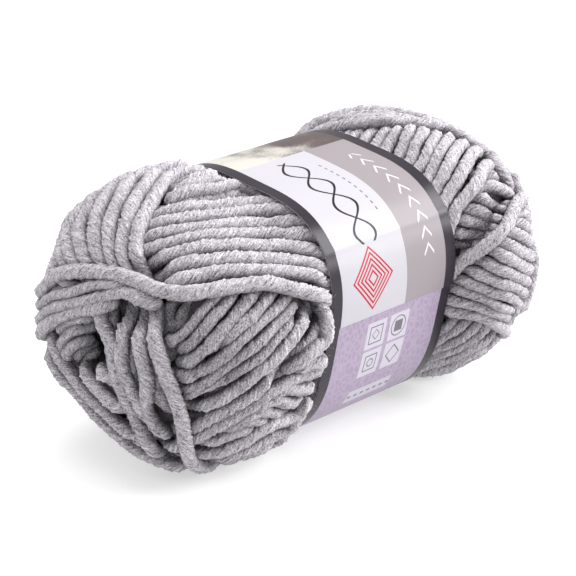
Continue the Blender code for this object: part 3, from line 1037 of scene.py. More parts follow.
@dataclass(frozen=True)
class YarnTube:
    """The shape of the yarn: plies twisted round each other.

    Attributes:
        plies: how many soft strands are twisted together.
        across: points across each ply.
        lay: length in which the plies go round once.
        groove: depth of the grooves between plies, as a share of the radius.
        roundness: how round a ply's crown is, from 1 to 0 where it is flat.
        lumps: how uneven the plies are, as a share of the radius.
        lump_length: about how long a lump is.
        tufts: how far single points stand in or out, as a share of the radius.
        end_size: a turn's thickness at its very ends, as a share of the whole.
        end_over: from that thickness it would grow by a whole radius over this length.
        apart: fibre coordinates of different turns start up to this far apart.
        shade_from: how far round its side a turn is hidden between others, as a sine; there the
            painted shade is darkest.
        shade_over: over how much more of that sine the painted shade fades out.
        least_open: how light the grooves between the outermost turns still are under the painted
            shade.
        sunk_from: depth under the ball's form from which painted shade darkens the turns.
        sunk_over: over how much more depth.
        sunk_shade: how dark the painted shade gets there.
    """

    plies: int = 6
    across: int = 4
    lay: float = 12.0 * MM
    groove: float = 0.05
    roundness: float = 0.7
    lumps: float = 0.03
    lump_length: float = 9.0 * MM
    tufts: float = 0.075
    end_size: float = 0.55
    end_over: float = 3.0 * MM
    apart: float = 50.0
    shade_from: float = 0.10
    shade_over: float = 0.75
    least_open: float = 0.56
    sunk_from: float = 1.6 * MM
    sunk_over: float = 6.0 * MM
    sunk_shade: float = 0.5

    @property
    def sides(self) -> int:
        """Points round the yarn."""
        return self.plies * self.across

    def around(
        self, turn: Turn, radius: float, rng: np.random.Generator
    ) -> tuple[np.ndarray, np.ndarray, np.ndarray]:
        """The tube's surface points, rings by points of a ring, and their fibre coordinates.

        A ring's point at angle a is centre + (across * w * cos + outward * h * sin) * r(a), with
        r(a) highest in the middle of each ply. The ring turns with the lay, so that columns of
        points follow the plies. Fibre coordinates are that untwisted angle and the length.
        Painted shade darkens a point as far as it faces away from the outside, and darkens sunk
        turns more.

        Args:
            turn: the turn to make.
            radius: its usual radius.
            rng: where its phase and lumps come from.

        Returns:
            Points and fibre coordinates, both ring by point by three, and how open each point
            lies, from 0 between turns to 1 on a crown.
        """
        at = along(turn.points)
        ahead = tangents(turn.points)
        across = unit(np.cross(ahead, turn.normals))
        outward = np.cross(across, ahead)
        column = np.arange(self.sides) * FULL_TURN / self.sides
        phase, start = rng.uniform(0, FULL_TURN), rng.uniform(0, self.apart)
        angle = column + (at * FULL_TURN / self.lay + phase)[:, None]
        ply = np.abs(np.sin(column * self.plies / 2)) ** self.roundness
        crown = 1.0 - self.groove * (1.0 - ply)
        lumps = np.stack([waves(at, self.lump_length, rng) for _ in range(self.plies)], 1)
        lumps = np.repeat(lumps, self.across, axis=1) * self.lumps
        from_end = np.minimum(at, at[-1] - at)
        ends = np.minimum(1.0, self.end_size + from_end / self.end_over)
        tufts = self.tufts * rng.normal(0.0, 1.0, lumps.shape)
        size = (crown * (1.0 + lumps + tufts)) * ends[:, None]
        wide = turn.half_width[:, None]
        high = radius * np.sqrt(radius / wide)
        offset = across[:, None] * (size * wide * np.cos(angle))[..., None]
        offset = offset + outward[:, None] * (size * high * np.sin(angle))[..., None]
        points = turn.points[:, None] + offset
        points[..., 2] = np.maximum(points[..., 2], 0.0)
        fibre = np.empty_like(points)
        fibre[..., 0] = radius * np.cos(column)
        fibre[..., 1] = radius * np.sin(column)
        fibre[..., 2] = at[:, None] + start
        # painted shade: the colour is darkened where a turn faces away from the outside and where
        # it lies sunk under the form
        facing = smooth_step((np.sin(angle) + self.shade_from) / self.shade_over)
        sunk = smooth_step((turn.depth - self.sunk_from) / self.sunk_over)[:, None]
        least = self.least_open * (1.0 - sunk)
        return points, fibre, (least + (1.0 - least) * facing) * (1.0 - self.sunk_shade * sunk)


@dataclass
class WoundYarn:
    """All turns of the ball, joined into one piece for each region."""

    winding: Winding
    tube: YarnTube
    turns: list[Turn] = field(default_factory=list)

    def wind(self) -> None:
        """Lays every turn."""
        self.turns = self.winding.lay(bundles())
        length = sum(along(turn.points)[-1] for turn in self.turns)
        log.info("laid %d turns, %.1f m of yarn", len(self.turns), length)

    def build(self, piece: YarnPiece) -> bpy.types.Object:
        """The piece with its turns' tubes, each closed at both ends.

        Args:
            piece: which piece to make.

        Returns:
            The piece's object.
        """
        rng = np.random.default_rng(SEED + 100 + list(YarnPiece).index(piece))
        points, fibres, opens, quads, caps, first = [], [], [], [], [], 0
        for turn in (t for t in self.turns if t.bundle.piece is piece):
            radius = self.winding.radius * turn.bundle.thick
            tube, fibre, facing = self.tube.around(turn, radius, rng)
            rings, sides = tube.shape[:2]
            points.append(tube.reshape(-1, 3))
            fibres.append(fibre.reshape(-1, 3))
            opens.append(facing.reshape(-1))
            quads.append(grid_faces(rings, sides, first))
            ring = np.arange(sides)
            caps.append(np.stack([ring[::-1] + first, ring + first + (rings - 1) * sides]))
            first += rings * sides
        faces = [np.concatenate(quads), np.concatenate(caps)]
        mesh = mesh_of(piece.value, np.concatenate(points), faces)
        set_attribute(mesh, "fibre", "FLOAT_VECTOR", np.concatenate(fibres))
        # the painted light and shade that darkens the yarn's colour between and under the turns
        set_attribute(mesh, "open", "FLOAT", np.concatenate(opens))
        return new_piece(piece.value, mesh)


@dataclass(frozen=True)
class Fuzz:
    """Loose fibres that stand off the turns, as thin bent spikes of ten triangles.

    Attributes:
        hairs: how many spikes.
        radius: a spike's radius at its root.
        shortest: the shortest spike's length.
        longest: the longest spike's length.
        round_side: how far round the turn they stand, in radians to each side of its crown.
        root_at: how far out they start, as a share of the yarn's radius.
        outwards: how much of the yarn's outward direction a spike's start has.
        along_yarn: the least and the most that it has of the yarn's run.
        stray: how much it strays at random.
        bend: how much it bends at random.
        droop: how much it bends back to the yarn.
        knee: thickness halfway, as a share of that at the root.
    """

    hairs: int = 16000
    radius: float = 0.032 * MM
    shortest: float = 0.7 * MM
    longest: float = 2.6 * MM
    round_side: float = 1.5
    root_at: float = 0.92
    outwards: float = 0.55
    along_yarn: Pair = (0.3, 1.3)
    stray: float = 0.35
    bend: float = 0.45
    droop: float = 0.15
    knee: float = 0.8

    def build(self, turns: list[Turn], yarn_radius: float) -> bpy.types.Object:
        """All spikes in one piece.

        A spike's middle line is root + l * (t * out + t^2 * bend), with out between the turn's
        outward direction and its run, and t from 0 at the root to 1 at the tip.

        Args:
            turns: the turns that the fibres stand on.
            yarn_radius: the turns' radius.

        Returns:
            The piece's object.
        """
        rng = np.random.default_rng(SEED + 1)
        line = np.concatenate([turn.points for turn in turns])
        ahead = np.concatenate([tangents(turn.points) for turn in turns])
        normal = np.concatenate([turn.normals for turn in turns])
        pick = rng.integers(0, len(line), self.hairs)
        angle = rng.uniform(-self.round_side, self.round_side, self.hairs)[:, None]
        across = unit(np.cross(ahead[pick], normal[pick]))
        out = across * np.sin(angle) + np.cross(across, ahead[pick]) * np.cos(angle)
        root = line[pick] + out * self.root_at * yarn_radius
        run = ahead[pick] * rng.choice([-1.0, 1.0], self.hairs)[:, None]
        stray = rng.normal(0.0, self.stray, (self.hairs, 3))
        run = rng.uniform(*self.along_yarn, (self.hairs, 1)) * run
        start = unit(self.outwards * out + run + stray)
        bend = self.bend * rng.normal(0.0, 1.0, (self.hairs, 3)) - self.droop * out
        share = rng.uniform(0.0, 1.0, (self.hairs, 1)) ** 2
        length = self.shortest + (self.longest - self.shortest) * share
        middle = root + length * (0.5 * start + 0.25 * bend)
        tip = root + length * (start + bend)
        side = unit(np.cross(start, out + 0.01))
        other = np.cross(start, side)
        corners = (np.arange(3) * FULL_TURN / 3)[:, None]
        ring = side[:, None] * np.cos(corners) + other[:, None] * np.sin(corners)
        base = root[:, None] + self.radius * ring
        knee = middle[:, None] + self.knee * self.radius * ring
        points = np.concatenate([base, knee, tip[:, None]], axis=1)
        points[..., 2] = np.maximum(points[..., 2], 0.0)
        sides = [[k, (k + 1) % 3, 3 + (k + 1) % 3, 3 + k] for k in range(3)]
        ends = [[2, 1, 0]] + [[3 + k, 3 + (k + 1) % 3, 6] for k in range(3)]
        first = np.arange(self.hairs)[:, None, None] * 7
        faces = [(first + np.array(part)).reshape(-1, len(part[0])) for part in (sides, ends)]
        mesh = mesh_of("loose_fibres", points.reshape(-1, 3), faces)
        return new_piece("loose_fibres", mesh)


@dataclass(frozen=True)
class Hollow:
    """A place where the inner turns lie deeper: the pixel of its middle, how wide, how deep."""

    pixel: Pair
    radius: float
    depth: float


@dataclass(frozen=True)
class InnerTurns:
    """The deeper turns that show in the dark between the outer ones, as one ridged surface.

    Attributes:
        form: the ball's outer form.
        camera: what the hollows' pixels are seen by.
        depth: how far under the form the ridges' crowns lie.
        ridge: how deep the grooves between ridges are.
        ridge_pitch: from one ridge to the next, along the slanting line.
        slant: the direction of that line.
        open: how much painted light the crowns keep, where 1 is the outside of the ball.
        dark_over: the painted shade darkens them by a factor of e for each such length further
            down.
        hollows: where the surface lies deeper.
        off_table: its lowest height.
        last_lean: the lean of the first and the last ring of points, in degrees.
        rings: rings of points from end to end.
        columns: points in a ring.
    """

    form: BallForm
    camera: PhotoCamera
    depth: float = 7.2 * MM
    ridge: float = 0.9 * MM
    ridge_pitch: float = 4.4 * MM
    slant: Triple = (0.35, 0.5, 1.0)
    open: float = 0.16
    dark_over: float = 3.0 * MM
    hollows: tuple[Hollow, ...] = (
        Hollow((95, 325), 4.5 * MM, 9.0 * MM),
        Hollow((100, 353), 6.0 * MM, 12.0 * MM),
        Hollow((162, 308), 5.0 * MM, 8.0 * MM),
        Hollow((172, 352), 6.0 * MM, 8.0 * MM),
        Hollow((190, 400), 5.0 * MM, 6.0 * MM),
        Hollow((205, 444), 6.0 * MM, 6.0 * MM),
    )
    off_table: float = 1.0 * MM
    last_lean: float = 89.5
    rings: int = 170
    columns: int = 200

    def build(self) -> bpy.types.Object:
        """The closed surface, on a grid of leans and clocks.

        A point lies under the form by depth, and by the greatest of ridge * (1 - |sin|) of its
        distance along the slanting line and each hollow's depth * exp(-(d/r)^2) at distance d
        from the hollow's middle.

        Returns:
            The piece's object.
        """
        lean = np.linspace(-self.last_lean, self.last_lean, self.rings)
        clock = np.linspace(-180.0, 180.0, self.columns, endpoint=False)
        places = np.stack(np.meshgrid(lean, clock, indexing="ij"), -1).reshape(-1, 2)
        points = self.form.at_places(places, self.depth)
        slanting = points @ unit(np.array(self.slant))
        down = self.ridge * (1.0 - np.abs(np.sin(np.pi * slanting / self.ridge_pitch)))
        pixels = [hollow.pixel for hollow in self.hollows]
        middles = self.camera.cast(pixels, self.form, self.depth)
        for hollow, middle in zip(self.hollows, middles):
            away = np.linalg.norm(points - middle, axis=1) / hollow.radius
            down = np.maximum(down, hollow.depth * np.exp(-(away**2)))
        points = points - self.form.normals(points) * down[:, None]
        points[:, 2] = np.maximum(points[:, 2], self.off_table)
        quads = grid_faces(self.rings, self.columns)[:, ::-1]
        ring = np.arange(self.columns)
        ends = np.stack([ring, ring[::-1] + (self.rings - 1) * self.columns])
        mesh = mesh_of("inner_turns", points, [quads, ends])
        set_attribute(mesh, "fibre", "FLOAT_VECTOR", points)
        # painted shade: the inner turns are darkened by their depth, most in the hollows
        set_attribute(mesh, "open", "FLOAT", self.open * np.exp(-down / self.dark_over))
        return new_piece("inner_turns", mesh)


@dataclass(frozen=True)
class PaperBand:
    """The paper sleeve: a strip wrapped round the waist, its free end glued over its start.

    The strip's length runs from its free end, at the seam on the front, over the top and round
    to where it ends under itself. Its width runs from the near rim to the far one. Angles are
    round the long axis, 90 degrees on top and 180 at the front.

    Attributes:
        form: the ball's form, which has the band's outside.
        thick: the paper's thickness.
        seam_angle: where the free end is glued down.
        overlap: how far the strip goes on under its free end.
        lift: how far the free end stands off.
        lift_over: how far from the free end the strip lies down.
        crease_angle: where the soft crease across the strip is.
        crease: the crease's height.
        crease_width: half its width.
        crease_power: how flat its top is, where 2 is a bell curve.
        rim_wave: how much the rims wave.
        rim_waves: the lengths of the two waves along them.
        rims_apart: by how much the two rims' waves are out of step, in radians.
        sharp_from: the edges' least angle that is shaded sharp.
        along_cells: faces along the strip.
        across_cells: faces across it.
    """

    form: BallForm
    thick: float = 0.32 * MM
    seam_angle: float = math.radians(180.5)
    overlap: float = math.radians(11.0)
    lift: float = 0.36 * MM
    lift_over: float = 22.0 * MM
    crease_angle: float = math.radians(148.0)
    crease: float = 0.35 * MM
    crease_width: float = 1.6 * MM
    crease_power: float = 1.5
    rim_wave: float = 0.16 * MM
    rim_waves: Pair = (9.0 * MM, 5.3 * MM)
    rims_apart: float = 2.1
    sharp_from: float = math.radians(50.0)
    along_cells: int = 420
    across_cells: int = 44

    @property
    def width(self) -> float:
        """The strip's width."""
        return 2 * self.form.band_half_width

    def strip(self) -> tuple[np.ndarray, np.ndarray, np.ndarray]:
        """The strip's outer face on a grid of its length and width.

        A point lies at radius band_radius(x, angle) + lift + crease + waves from the long axis,
        where the lift is highest at the free end, and the waves grow towards the rims.

        Returns:
            Points, outward normals, and the flat strip's own coordinates in metres.
        """
        half = self.form.band_half_width
        x = np.linspace(-half, half, self.across_cells + 1)
        wrap = np.linspace(0.0, FULL_TURN + self.overlap, self.along_cells + 1)
        angle, x = np.meshgrid(self.seam_angle - wrap, x, indexing="ij")
        radius = self.form.band_radius(x, angle)
        middle = radius[:, self.across_cells // 2]
        arc = np.concatenate([[0.0], np.cumsum((middle[1:] + middle[:-1]) / 2 * np.diff(wrap))])
        length = np.broadcast_to(arc[:, None], x.shape)
        radius = radius + self.lift * (1.0 - smooth_step(length / self.lift_over))
        off_crease = (angle - self.crease_angle) * middle[:, None] / self.crease_width
        radius = radius + self.crease * np.exp(-np.abs(off_crease) ** self.crease_power)
        long_wave, short_wave = (length / each for each in self.rim_waves)
        wave = np.sin(long_wave + self.rims_apart * np.sign(x)) + np.sin(short_wave)
        radius = radius + self.rim_wave * (np.abs(x) / half) ** 4 * wave
        y = self.form.axis_side + radius * np.cos(angle)
        z = self.form.axis_height + radius * np.sin(angle)
        points = np.stack([x, y, z], -1)
        by_length, by_width = np.gradient(points, axis=0), np.gradient(points, axis=1)
        normals = unit(np.cross(by_width, by_length))
        flat = np.stack([length, x + half, np.zeros_like(x)], -1)
        return points, normals, flat

    def flat_size(self) -> Pair:
        """The strip's width and length when it is laid out flat."""
        return self.width, float(self.strip()[2][-1, 0, 0])

    def build(self) -> bpy.types.Object:
        """The strip as a closed shell of the paper's thickness.

        Its flat attribute holds length, width, and 0 on the outer face or 1 on the inner one.

        Returns:
            The piece's object.
        """
        outer, normals, flat = self.strip()
        inner = outer - normals * self.thick
        rows, columns = outer.shape[:2]
        count = rows * columns
        faces = grid_faces(rows, columns, closed=False)
        index = np.arange(count).reshape(rows, columns)
        rim = np.concatenate([index[0], index[1:, -1], index[-1, -2::-1], index[-2:0:-1, 0]])
        after = np.roll(rim, -1)
        wall = np.stack([rim, rim + count, after + count, after], 1)
        points = np.concatenate([outer.reshape(-1, 3), inner.reshape(-1, 3)])
        mesh = mesh_of("band_strip", points, [faces, faces[:, ::-1] + count, wall])
        outside = flat.reshape(-1, 3)
        both = np.concatenate([outside, outside + (0.0, 0.0, 1.0)])
        set_attribute(mesh, "flat", "FLOAT_VECTOR", both)
        mesh.set_sharp_from_angle(angle=self.sharp_from)
        return new_piece("band_strip", mesh)


# ---------------------------------------- finishes


@dataclass
class Field:
    """A value that varies over a surface, with arithmetic that adds Math nodes."""

    tree: bpy.types.NodeTree
    socket: Socket

    def math(self, operation: str, *others: Field | float) -> Field:
        """The result of a Math node on this value and up to two more.

        Args:
            operation: the node's operation.
            others: the other values, fields or plain numbers.

        Returns:
            The node's result.
        """
        node = self.tree.nodes.new("ShaderNodeMath")
        node.operation = operation
        self.tree.links.new(self.socket, node.inputs[0])
        for value, into in zip(others, node.inputs[1:]):
            if isinstance(value, Field):
                self.tree.links.new(value.socket, into)
            else:
                into.default_value = value
        return Field(self.tree, node.outputs[0])

    def __add__(self, other: Field | float) -> Field:
        """The sum."""
        return self.math("ADD", other)

    def __sub__(self, other: Field | float) -> Field:
        """The difference."""
        return self.math("SUBTRACT", other)

    def __mul__(self, other: Field | float) -> Field:
        """The product."""
        return self.math("MULTIPLY", other)

    def step(self, edge: float) -> Field:
        """1 where the value is over the edge, and 0 elsewhere."""
        return self.math("GREATER_THAN", edge)

    def below(self, edge: float) -> Field:
        """1 where the value is under the edge, and 0 elsewhere."""
        return self.math("LESS_THAN", edge)

    def between(self, low: float, high: float) -> Field:
        """1 where the value is between two edges, and 0 elsewhere."""
        return self.step(low) * self.below(high)

    def either(self, other: Field) -> Field:
        """The greater of the two, so 1 where either mask is."""
        return self.math("MAXIMUM", other)

    def size(self) -> Field:
        """The value without its sign."""
        return self.math("ABSOLUTE")

    def near(self, middle: float, half: float) -> Field:
        """1 where the value is within half of the middle, and 0 elsewhere."""
        return (self - middle).size().below(half)

    def repeats(self, pitch: float, share: float = 0.5) -> Field:
        """1 over the first share of each pitch, and 0 over the rest of it."""
        return (self * (1 / pitch)).math("FRACT").below(share)

    def ramp(self, low: float, high: float) -> Field:
        """A smooth rise from 0 to 1.

        Args:
            low: the value up to which it is 0.
            high: the value from which it is 1.

        Returns:
            The risen value.
        """
        node = self.tree.nodes.new("ShaderNodeMapRange")
        node.interpolation_type = "SMOOTHSTEP"
        self.tree.links.new(self.socket, node.inputs["Value"])
        node.inputs["From Min"].default_value = low
        node.inputs["From Max"].default_value = high
        return Field(self.tree, node.outputs["Result"])


@dataclass
class Recipe:
    """A new material's node tree, with short ways to add what the finishes are made of."""

    name: str
    material: bpy.types.Material = field(init=False)
    tree: bpy.types.NodeTree = field(init=False)
    shader: bpy.types.Node = field(init=False)

    def __post_init__(self) -> None:
        """Starts the material with its one shader."""
        self.material = bpy.data.materials.new(self.name)
        self.material.use_nodes = True
        self.tree = self.material.node_tree
        self.shader = self.tree.nodes["Principled BSDF"]

    def attribute(self, name: str, output: str = "Vector") -> Socket:
        """What a named attribute holds.

        Args:
            name: the attribute's name.
            output: Vector, or Fac for a number.

        Returns:
            Its socket.
        """
        node = self.tree.nodes.new("ShaderNodeAttribute")
        node.attribute_name = name
        return node.outputs[output]

    def object_place(self) -> Socket:
        """The point's place on the piece, in metres."""
        return self.tree.nodes.new("ShaderNodeTexCoord").outputs["Object"]

    def stretched(self, vector: Socket, scale: Triple) -> Socket:
        """A vector times a scale on each axis.

        Args:
            vector: the vector.
            scale: the three scales.

        Returns:
            The product.
        """
        node = self.tree.nodes.new("ShaderNodeMapping")
        self.tree.links.new(vector, node.inputs["Vector"])
        node.inputs["Scale"].default_value = scale
        return node.outputs["Vector"]

    def noise(self, vector: Socket, detail: float = 2.0, rough: float = 0.5) -> Field:
        """Fractal noise of one cell a unit.

        Args:
            vector: the place.
            detail: how many finer layers it has.
            rough: how strong each finer layer is.

        Returns:
            The noise, from about 0.25 to 0.75.
        """
        node = self.tree.nodes.new("ShaderNodeTexNoise")
        self.tree.links.new(vector, node.inputs["Vector"])
        node.inputs["Scale"].default_value = 1.0
        node.inputs["Detail"].default_value = detail
        node.inputs["Roughness"].default_value = rough
        return Field(self.tree, node.outputs["Fac"])

    def cell_edges(self, vector: Socket) -> Field:
        """A cell pattern of about one cell a unit.

        Args:
            vector: the place.

        Returns:
            Distance to the nearest edge between cells.
        """
        node = self.tree.nodes.new("ShaderNodeTexVoronoi")
        node.feature = "DISTANCE_TO_EDGE"
        node.inputs["Scale"].default_value = 1.0
        self.tree.links.new(vector, node.inputs["Vector"])
        return Field(self.tree, node.outputs["Distance"])

    def blend(self, share: Field, first: Colour | Socket, second: Colour | Socket) -> Socket:
        """A colour that goes from the first to the second with the share.

        Args:
            share: 0 for the first colour, 1 for the second.
            first: a colour, or a socket that gives one.
            second: the same.

        Returns:
            The blended colour's socket.
        """
        node = self.tree.nodes.new("ShaderNodeMix")
        node.data_type = "RGBA"
        self.tree.links.new(share.socket, node.inputs["Factor"])
        for value, into in ((first, node.inputs[6]), (second, node.inputs[7])):
            if isinstance(value, Socket):
                self.tree.links.new(value, into)
            else:
                into.default_value = (*value, 1.0)
        return node.outputs[2]

    def parts(self, vector: Socket) -> list[Field]:
        """A vector taken apart.

        Args:
            vector: the vector.

        Returns:
            Its x, y and z.
        """
        node = self.tree.nodes.new("ShaderNodeSeparateXYZ")
        self.tree.links.new(vector, node.inputs["Vector"])
        return [Field(self.tree, socket) for socket in node.outputs]

    def bump(self, height: Field, strength: float, distance: float) -> None:
        """Gives the shader a bump.

        Args:
            height: the height, from 0 to 1.
            strength: the share of the bump that shows.
            distance: what a height of 1 is in metres.
        """
        node = self.tree.nodes.new("ShaderNodeBump")
        node.inputs["Strength"].default_value = strength
        node.inputs["Distance"].default_value = distance
        self.tree.links.new(height.socket, node.inputs["Height"])
        self.tree.links.new(node.outputs["Normal"], self.shader.inputs["Normal"])

    def colour(self, socket: Socket) -> None:
        """Gives the shader its base colour."""
        self.tree.links.new(socket, self.shader.inputs["Base Color"])

    def set(self, **values: float | tuple[float, ...]) -> None:
        """Sets the shader's own sockets, with words joined by an underscore for their names."""
        for name, value in values.items():
            self.shader.inputs[name.replace("_", " ")].default_value = value


@dataclass(frozen=True)
class YarnFinish:
    """Heather grey wool: dark and pale fibres that run along the twist, matt with a soft sheen.

    Attributes:
        pale: colour of the pale fibres.
        middle: colour of most fibres.
        dark: colour of the dark fibres.
        between: the painted shade that the yarn fades to between turns and deep under the ball's
            form.
        fibre: width of the fine fibres.
        fibre_length: their length.
        lock: width of the coarser locks.
        lock_length: their length.
        fleck: size of the flecks.
        tone: how much of the tone comes from fibres, locks and flecks.
        to_middle: the tones from which and up to which dark turns to middle.
        to_pale: the same for middle and pale.
        ragged: how ragged the flecks make the edge of the painted shade.
        relief: how much of the bump comes from fibres, locks and flecks.
        relief_depth: the bump's depth.
    """

    pale: Colour = (0.70, 0.665, 0.71)
    middle: Colour = (0.42, 0.395, 0.43)
    dark: Colour = (0.12, 0.112, 0.125)
    between: Colour = (0.045, 0.041, 0.047)
    fibre: float = 0.36 * MM
    fibre_length: float = 1.9 * MM
    lock: float = 0.9 * MM
    lock_length: float = 2.6 * MM
    fleck: float = 0.5 * MM
    tone: Triple = (0.5, 0.15, 0.35)
    to_middle: Pair = (0.39, 0.49)
    to_pale: Pair = (0.48, 0.60)
    ragged: float = 0.5
    relief: Triple = (1.0, 0.6, 0.6)
    relief_depth: float = 0.42 * MM

    def build(self) -> bpy.types.Material:
        """Makes the material.

        Returns:
            It, following the piece's own fibre and open attributes.
        """
        recipe = Recipe("heather_yarn")
        fibre = recipe.attribute("fibre")
        fine, coarse, fleck = 1 / self.fibre, 1 / self.lock, 1 / self.fleck
        fibres = recipe.noise(
            recipe.stretched(fibre, (fine, fine, 1 / self.fibre_length)), 3.0, 0.7)
        locks = recipe.noise(recipe.stretched(fibre, (coarse, coarse, 1 / self.lock_length)))
        flecks = recipe.noise(recipe.stretched(recipe.object_place(), (fleck, fleck, fleck)), 3.0)
        tone, height = (
            fibres * shares[0] + locks * shares[1] + flecks * shares[2]
            for shares in (self.tone, self.relief))
        colour = recipe.blend(tone.ramp(*self.to_middle), self.dark, self.middle)
        # It, following the piece's own fibre attribute and its attribute of painted light and
        # shade.
        colour = recipe.blend(tone.ramp(*self.to_pale), colour, self.pale)
        openness = Field(recipe.tree, recipe.attribute("open", "Fac"))
        in_the_open = openness + (flecks - 0.5) * self.ragged
        # painted shade: the colour fades to the between colour where the stored painted light is
        # low, between turns and deep down
        recipe.colour(recipe.blend(in_the_open.ramp(0.0, 1.0), self.between, colour))
        recipe.bump(height, 1.0, self.relief_depth)
        recipe.set(Roughness=0.95, Sheen_Weight=0.2, Sheen_Roughness=0.5)
        recipe.set(Specular_IOR_Level=0.1)
        return recipe.material


@dataclass(frozen=True)
class LooseFibreFinish:
    """Single fibres off the same wool, some pale and some dark at random."""

    pale: Colour = (0.55, 0.53, 0.57)
    dark: Colour = (0.20, 0.19, 0.21)
    cell: float = 1.1 * MM
    to_pale: Pair = (0.4, 0.6)

    def build(self) -> bpy.types.Material:
        """Makes the material.

        Returns:
            It, read at places on the piece.
        """
        recipe = Recipe("loose_fibre")
        each = 1 / self.cell
        tone = recipe.noise(recipe.stretched(recipe.object_place(), (each, each, each)))
        recipe.colour(recipe.blend(tone.ramp(*self.to_pale), self.dark, self.pale))
        recipe.set(Roughness=0.8, Specular_IOR_Level=0.2)
        return recipe.material


@dataclass(frozen=True)
class StripPlace:
    """A place on the flat strip in millimetres: along it, across it, and both as a vector."""

    length: Field
    width: Field
    vector: Socket


@dataclass(frozen=True)
class CrossingWaves:
    """Two waving lines along the strip that cross, each the mirror of the other.

    Each lies at middle +- swing * sin(2 pi * length / period), in millimetres.
    """

    middle: float = 19.5
    swing: float = 4.4
    period: float = 20.6
    half_stroke: float = 0.55
    start: float = 22.5
    end: float = 63.0

    def mask(self, at: StripPlace) -> Field:
        """1 on the lines, and 0 elsewhere.

        Args:
            at: the place on the strip.

        Returns:
            The mask.
        """
        swing = (at.length * (FULL_TURN / self.period)).math("SINE") * self.swing
        off = at.width - self.middle
        one, other = (line.size().below(self.half_stroke) for line in (off - swing, off + swing))
        return one.either(other) * at.length.between(self.start, self.end)


@dataclass(frozen=True)
class Dashes:
    """A straight line of dashes, each half a pitch long, in millimetres."""

    middle: float
    half_stroke: float
    pitch: float
    start: float
    end: float

    def mask(self, run: Field, side: Field) -> Field:
        """1 on the dashes, and 0 elsewhere.

        Args:
            run: place along the line.
            side: place across the line.

        Returns:
            The mask.
        """
        dashes = run.repeats(self.pitch) * side.near(self.middle, self.half_stroke)
        return dashes * run.between(self.start, self.end)


@dataclass(frozen=True)
class NestedDiamonds:
    """Diamonds one inside the other round a middle, in millimetres.

    A point is |across| + squash * |lengthways| from the middle, and every pitch has one line.
    """

    width: float = 18.5
    length: float = 12.0
    squash: float = 0.95
    pitch: float = 1.7
    inner: float = 1.7
    outer: float = 9.35

    def mask(self, at: StripPlace) -> Field:
        """1 on the lines, and 0 elsewhere."""
        away = (at.width - self.width).size() + (at.length - self.length).size() * self.squash
        return away.repeats(self.pitch) * away.between(self.inner, self.outer)


@dataclass(frozen=True)
class Chevrons:
    """A row of chevrons along the strip, like a knitted stitch, in millimetres."""

    middle: float = 46.0
    half_width: float = 2.4
    slope: float = 1.3
    pitch: float = 5.2
    share: float = 0.2
    start: float = 12.0
    end: float = 57.0

    def mask(self, at: StripPlace) -> Field:
        """1 on the chevrons, and 0 elsewhere.

        Args:
            at: the place on the strip.

        Returns:
            The mask.
        """
        off = (at.width - self.middle).size()
        rows = (at.length + off * self.slope).repeats(self.pitch, self.share)
        return rows * off.below(self.half_width) * at.length.between(self.start, self.end)


class Shape(Enum):
    """The shapes of a sign's rings: all along one, its own distance from the middle is equal."""

    SQUARE = "square"
    ROUND = "round"
    DIAMOND = "diamond"

    def distance(self, across: Field, upward: Field) -> Field:
        """The distance from the middle: the greater part, the root of squares, or the sum.

        Args:
            across: distance to the side, without its sign.
            upward: distance up or down, without its sign.

        Returns:
            The distance.
        """
        if self is Shape.SQUARE:
            return across.either(upward)
        if self is Shape.ROUND:
            return (across * across + upward * upward).math("SQRT")
        return across + upward


@dataclass(frozen=True)
class Ring:
    """A part of a sign: what lies between two distances from its middle, in millimetres."""

    shape: Shape
    inner: float
    outer: float


@dataclass(frozen=True)
class Sign:
    """A plain sign in a square pale box, with the place of their middle on the strip."""

    width: float
    length: float
    rings: tuple[Ring, ...]
    box_half: float = 4.6

    def masks(self, at: StripPlace) -> tuple[Field, Field]:
        """The sign's masks.

        Args:
            at: the place on the strip.

        Returns:
            1 in the box, and 1 on the sign's own rings.
        """
        across, upward = (at.width - self.width).size(), (at.length - self.length).size()
        box = Shape.SQUARE.distance(across, upward).below(self.box_half)
        lines = [
            ring.shape.distance(across, upward).between(ring.inner, ring.outer)
            for ring in self.rings
        ]
        return box, reduce(Field.either, lines)


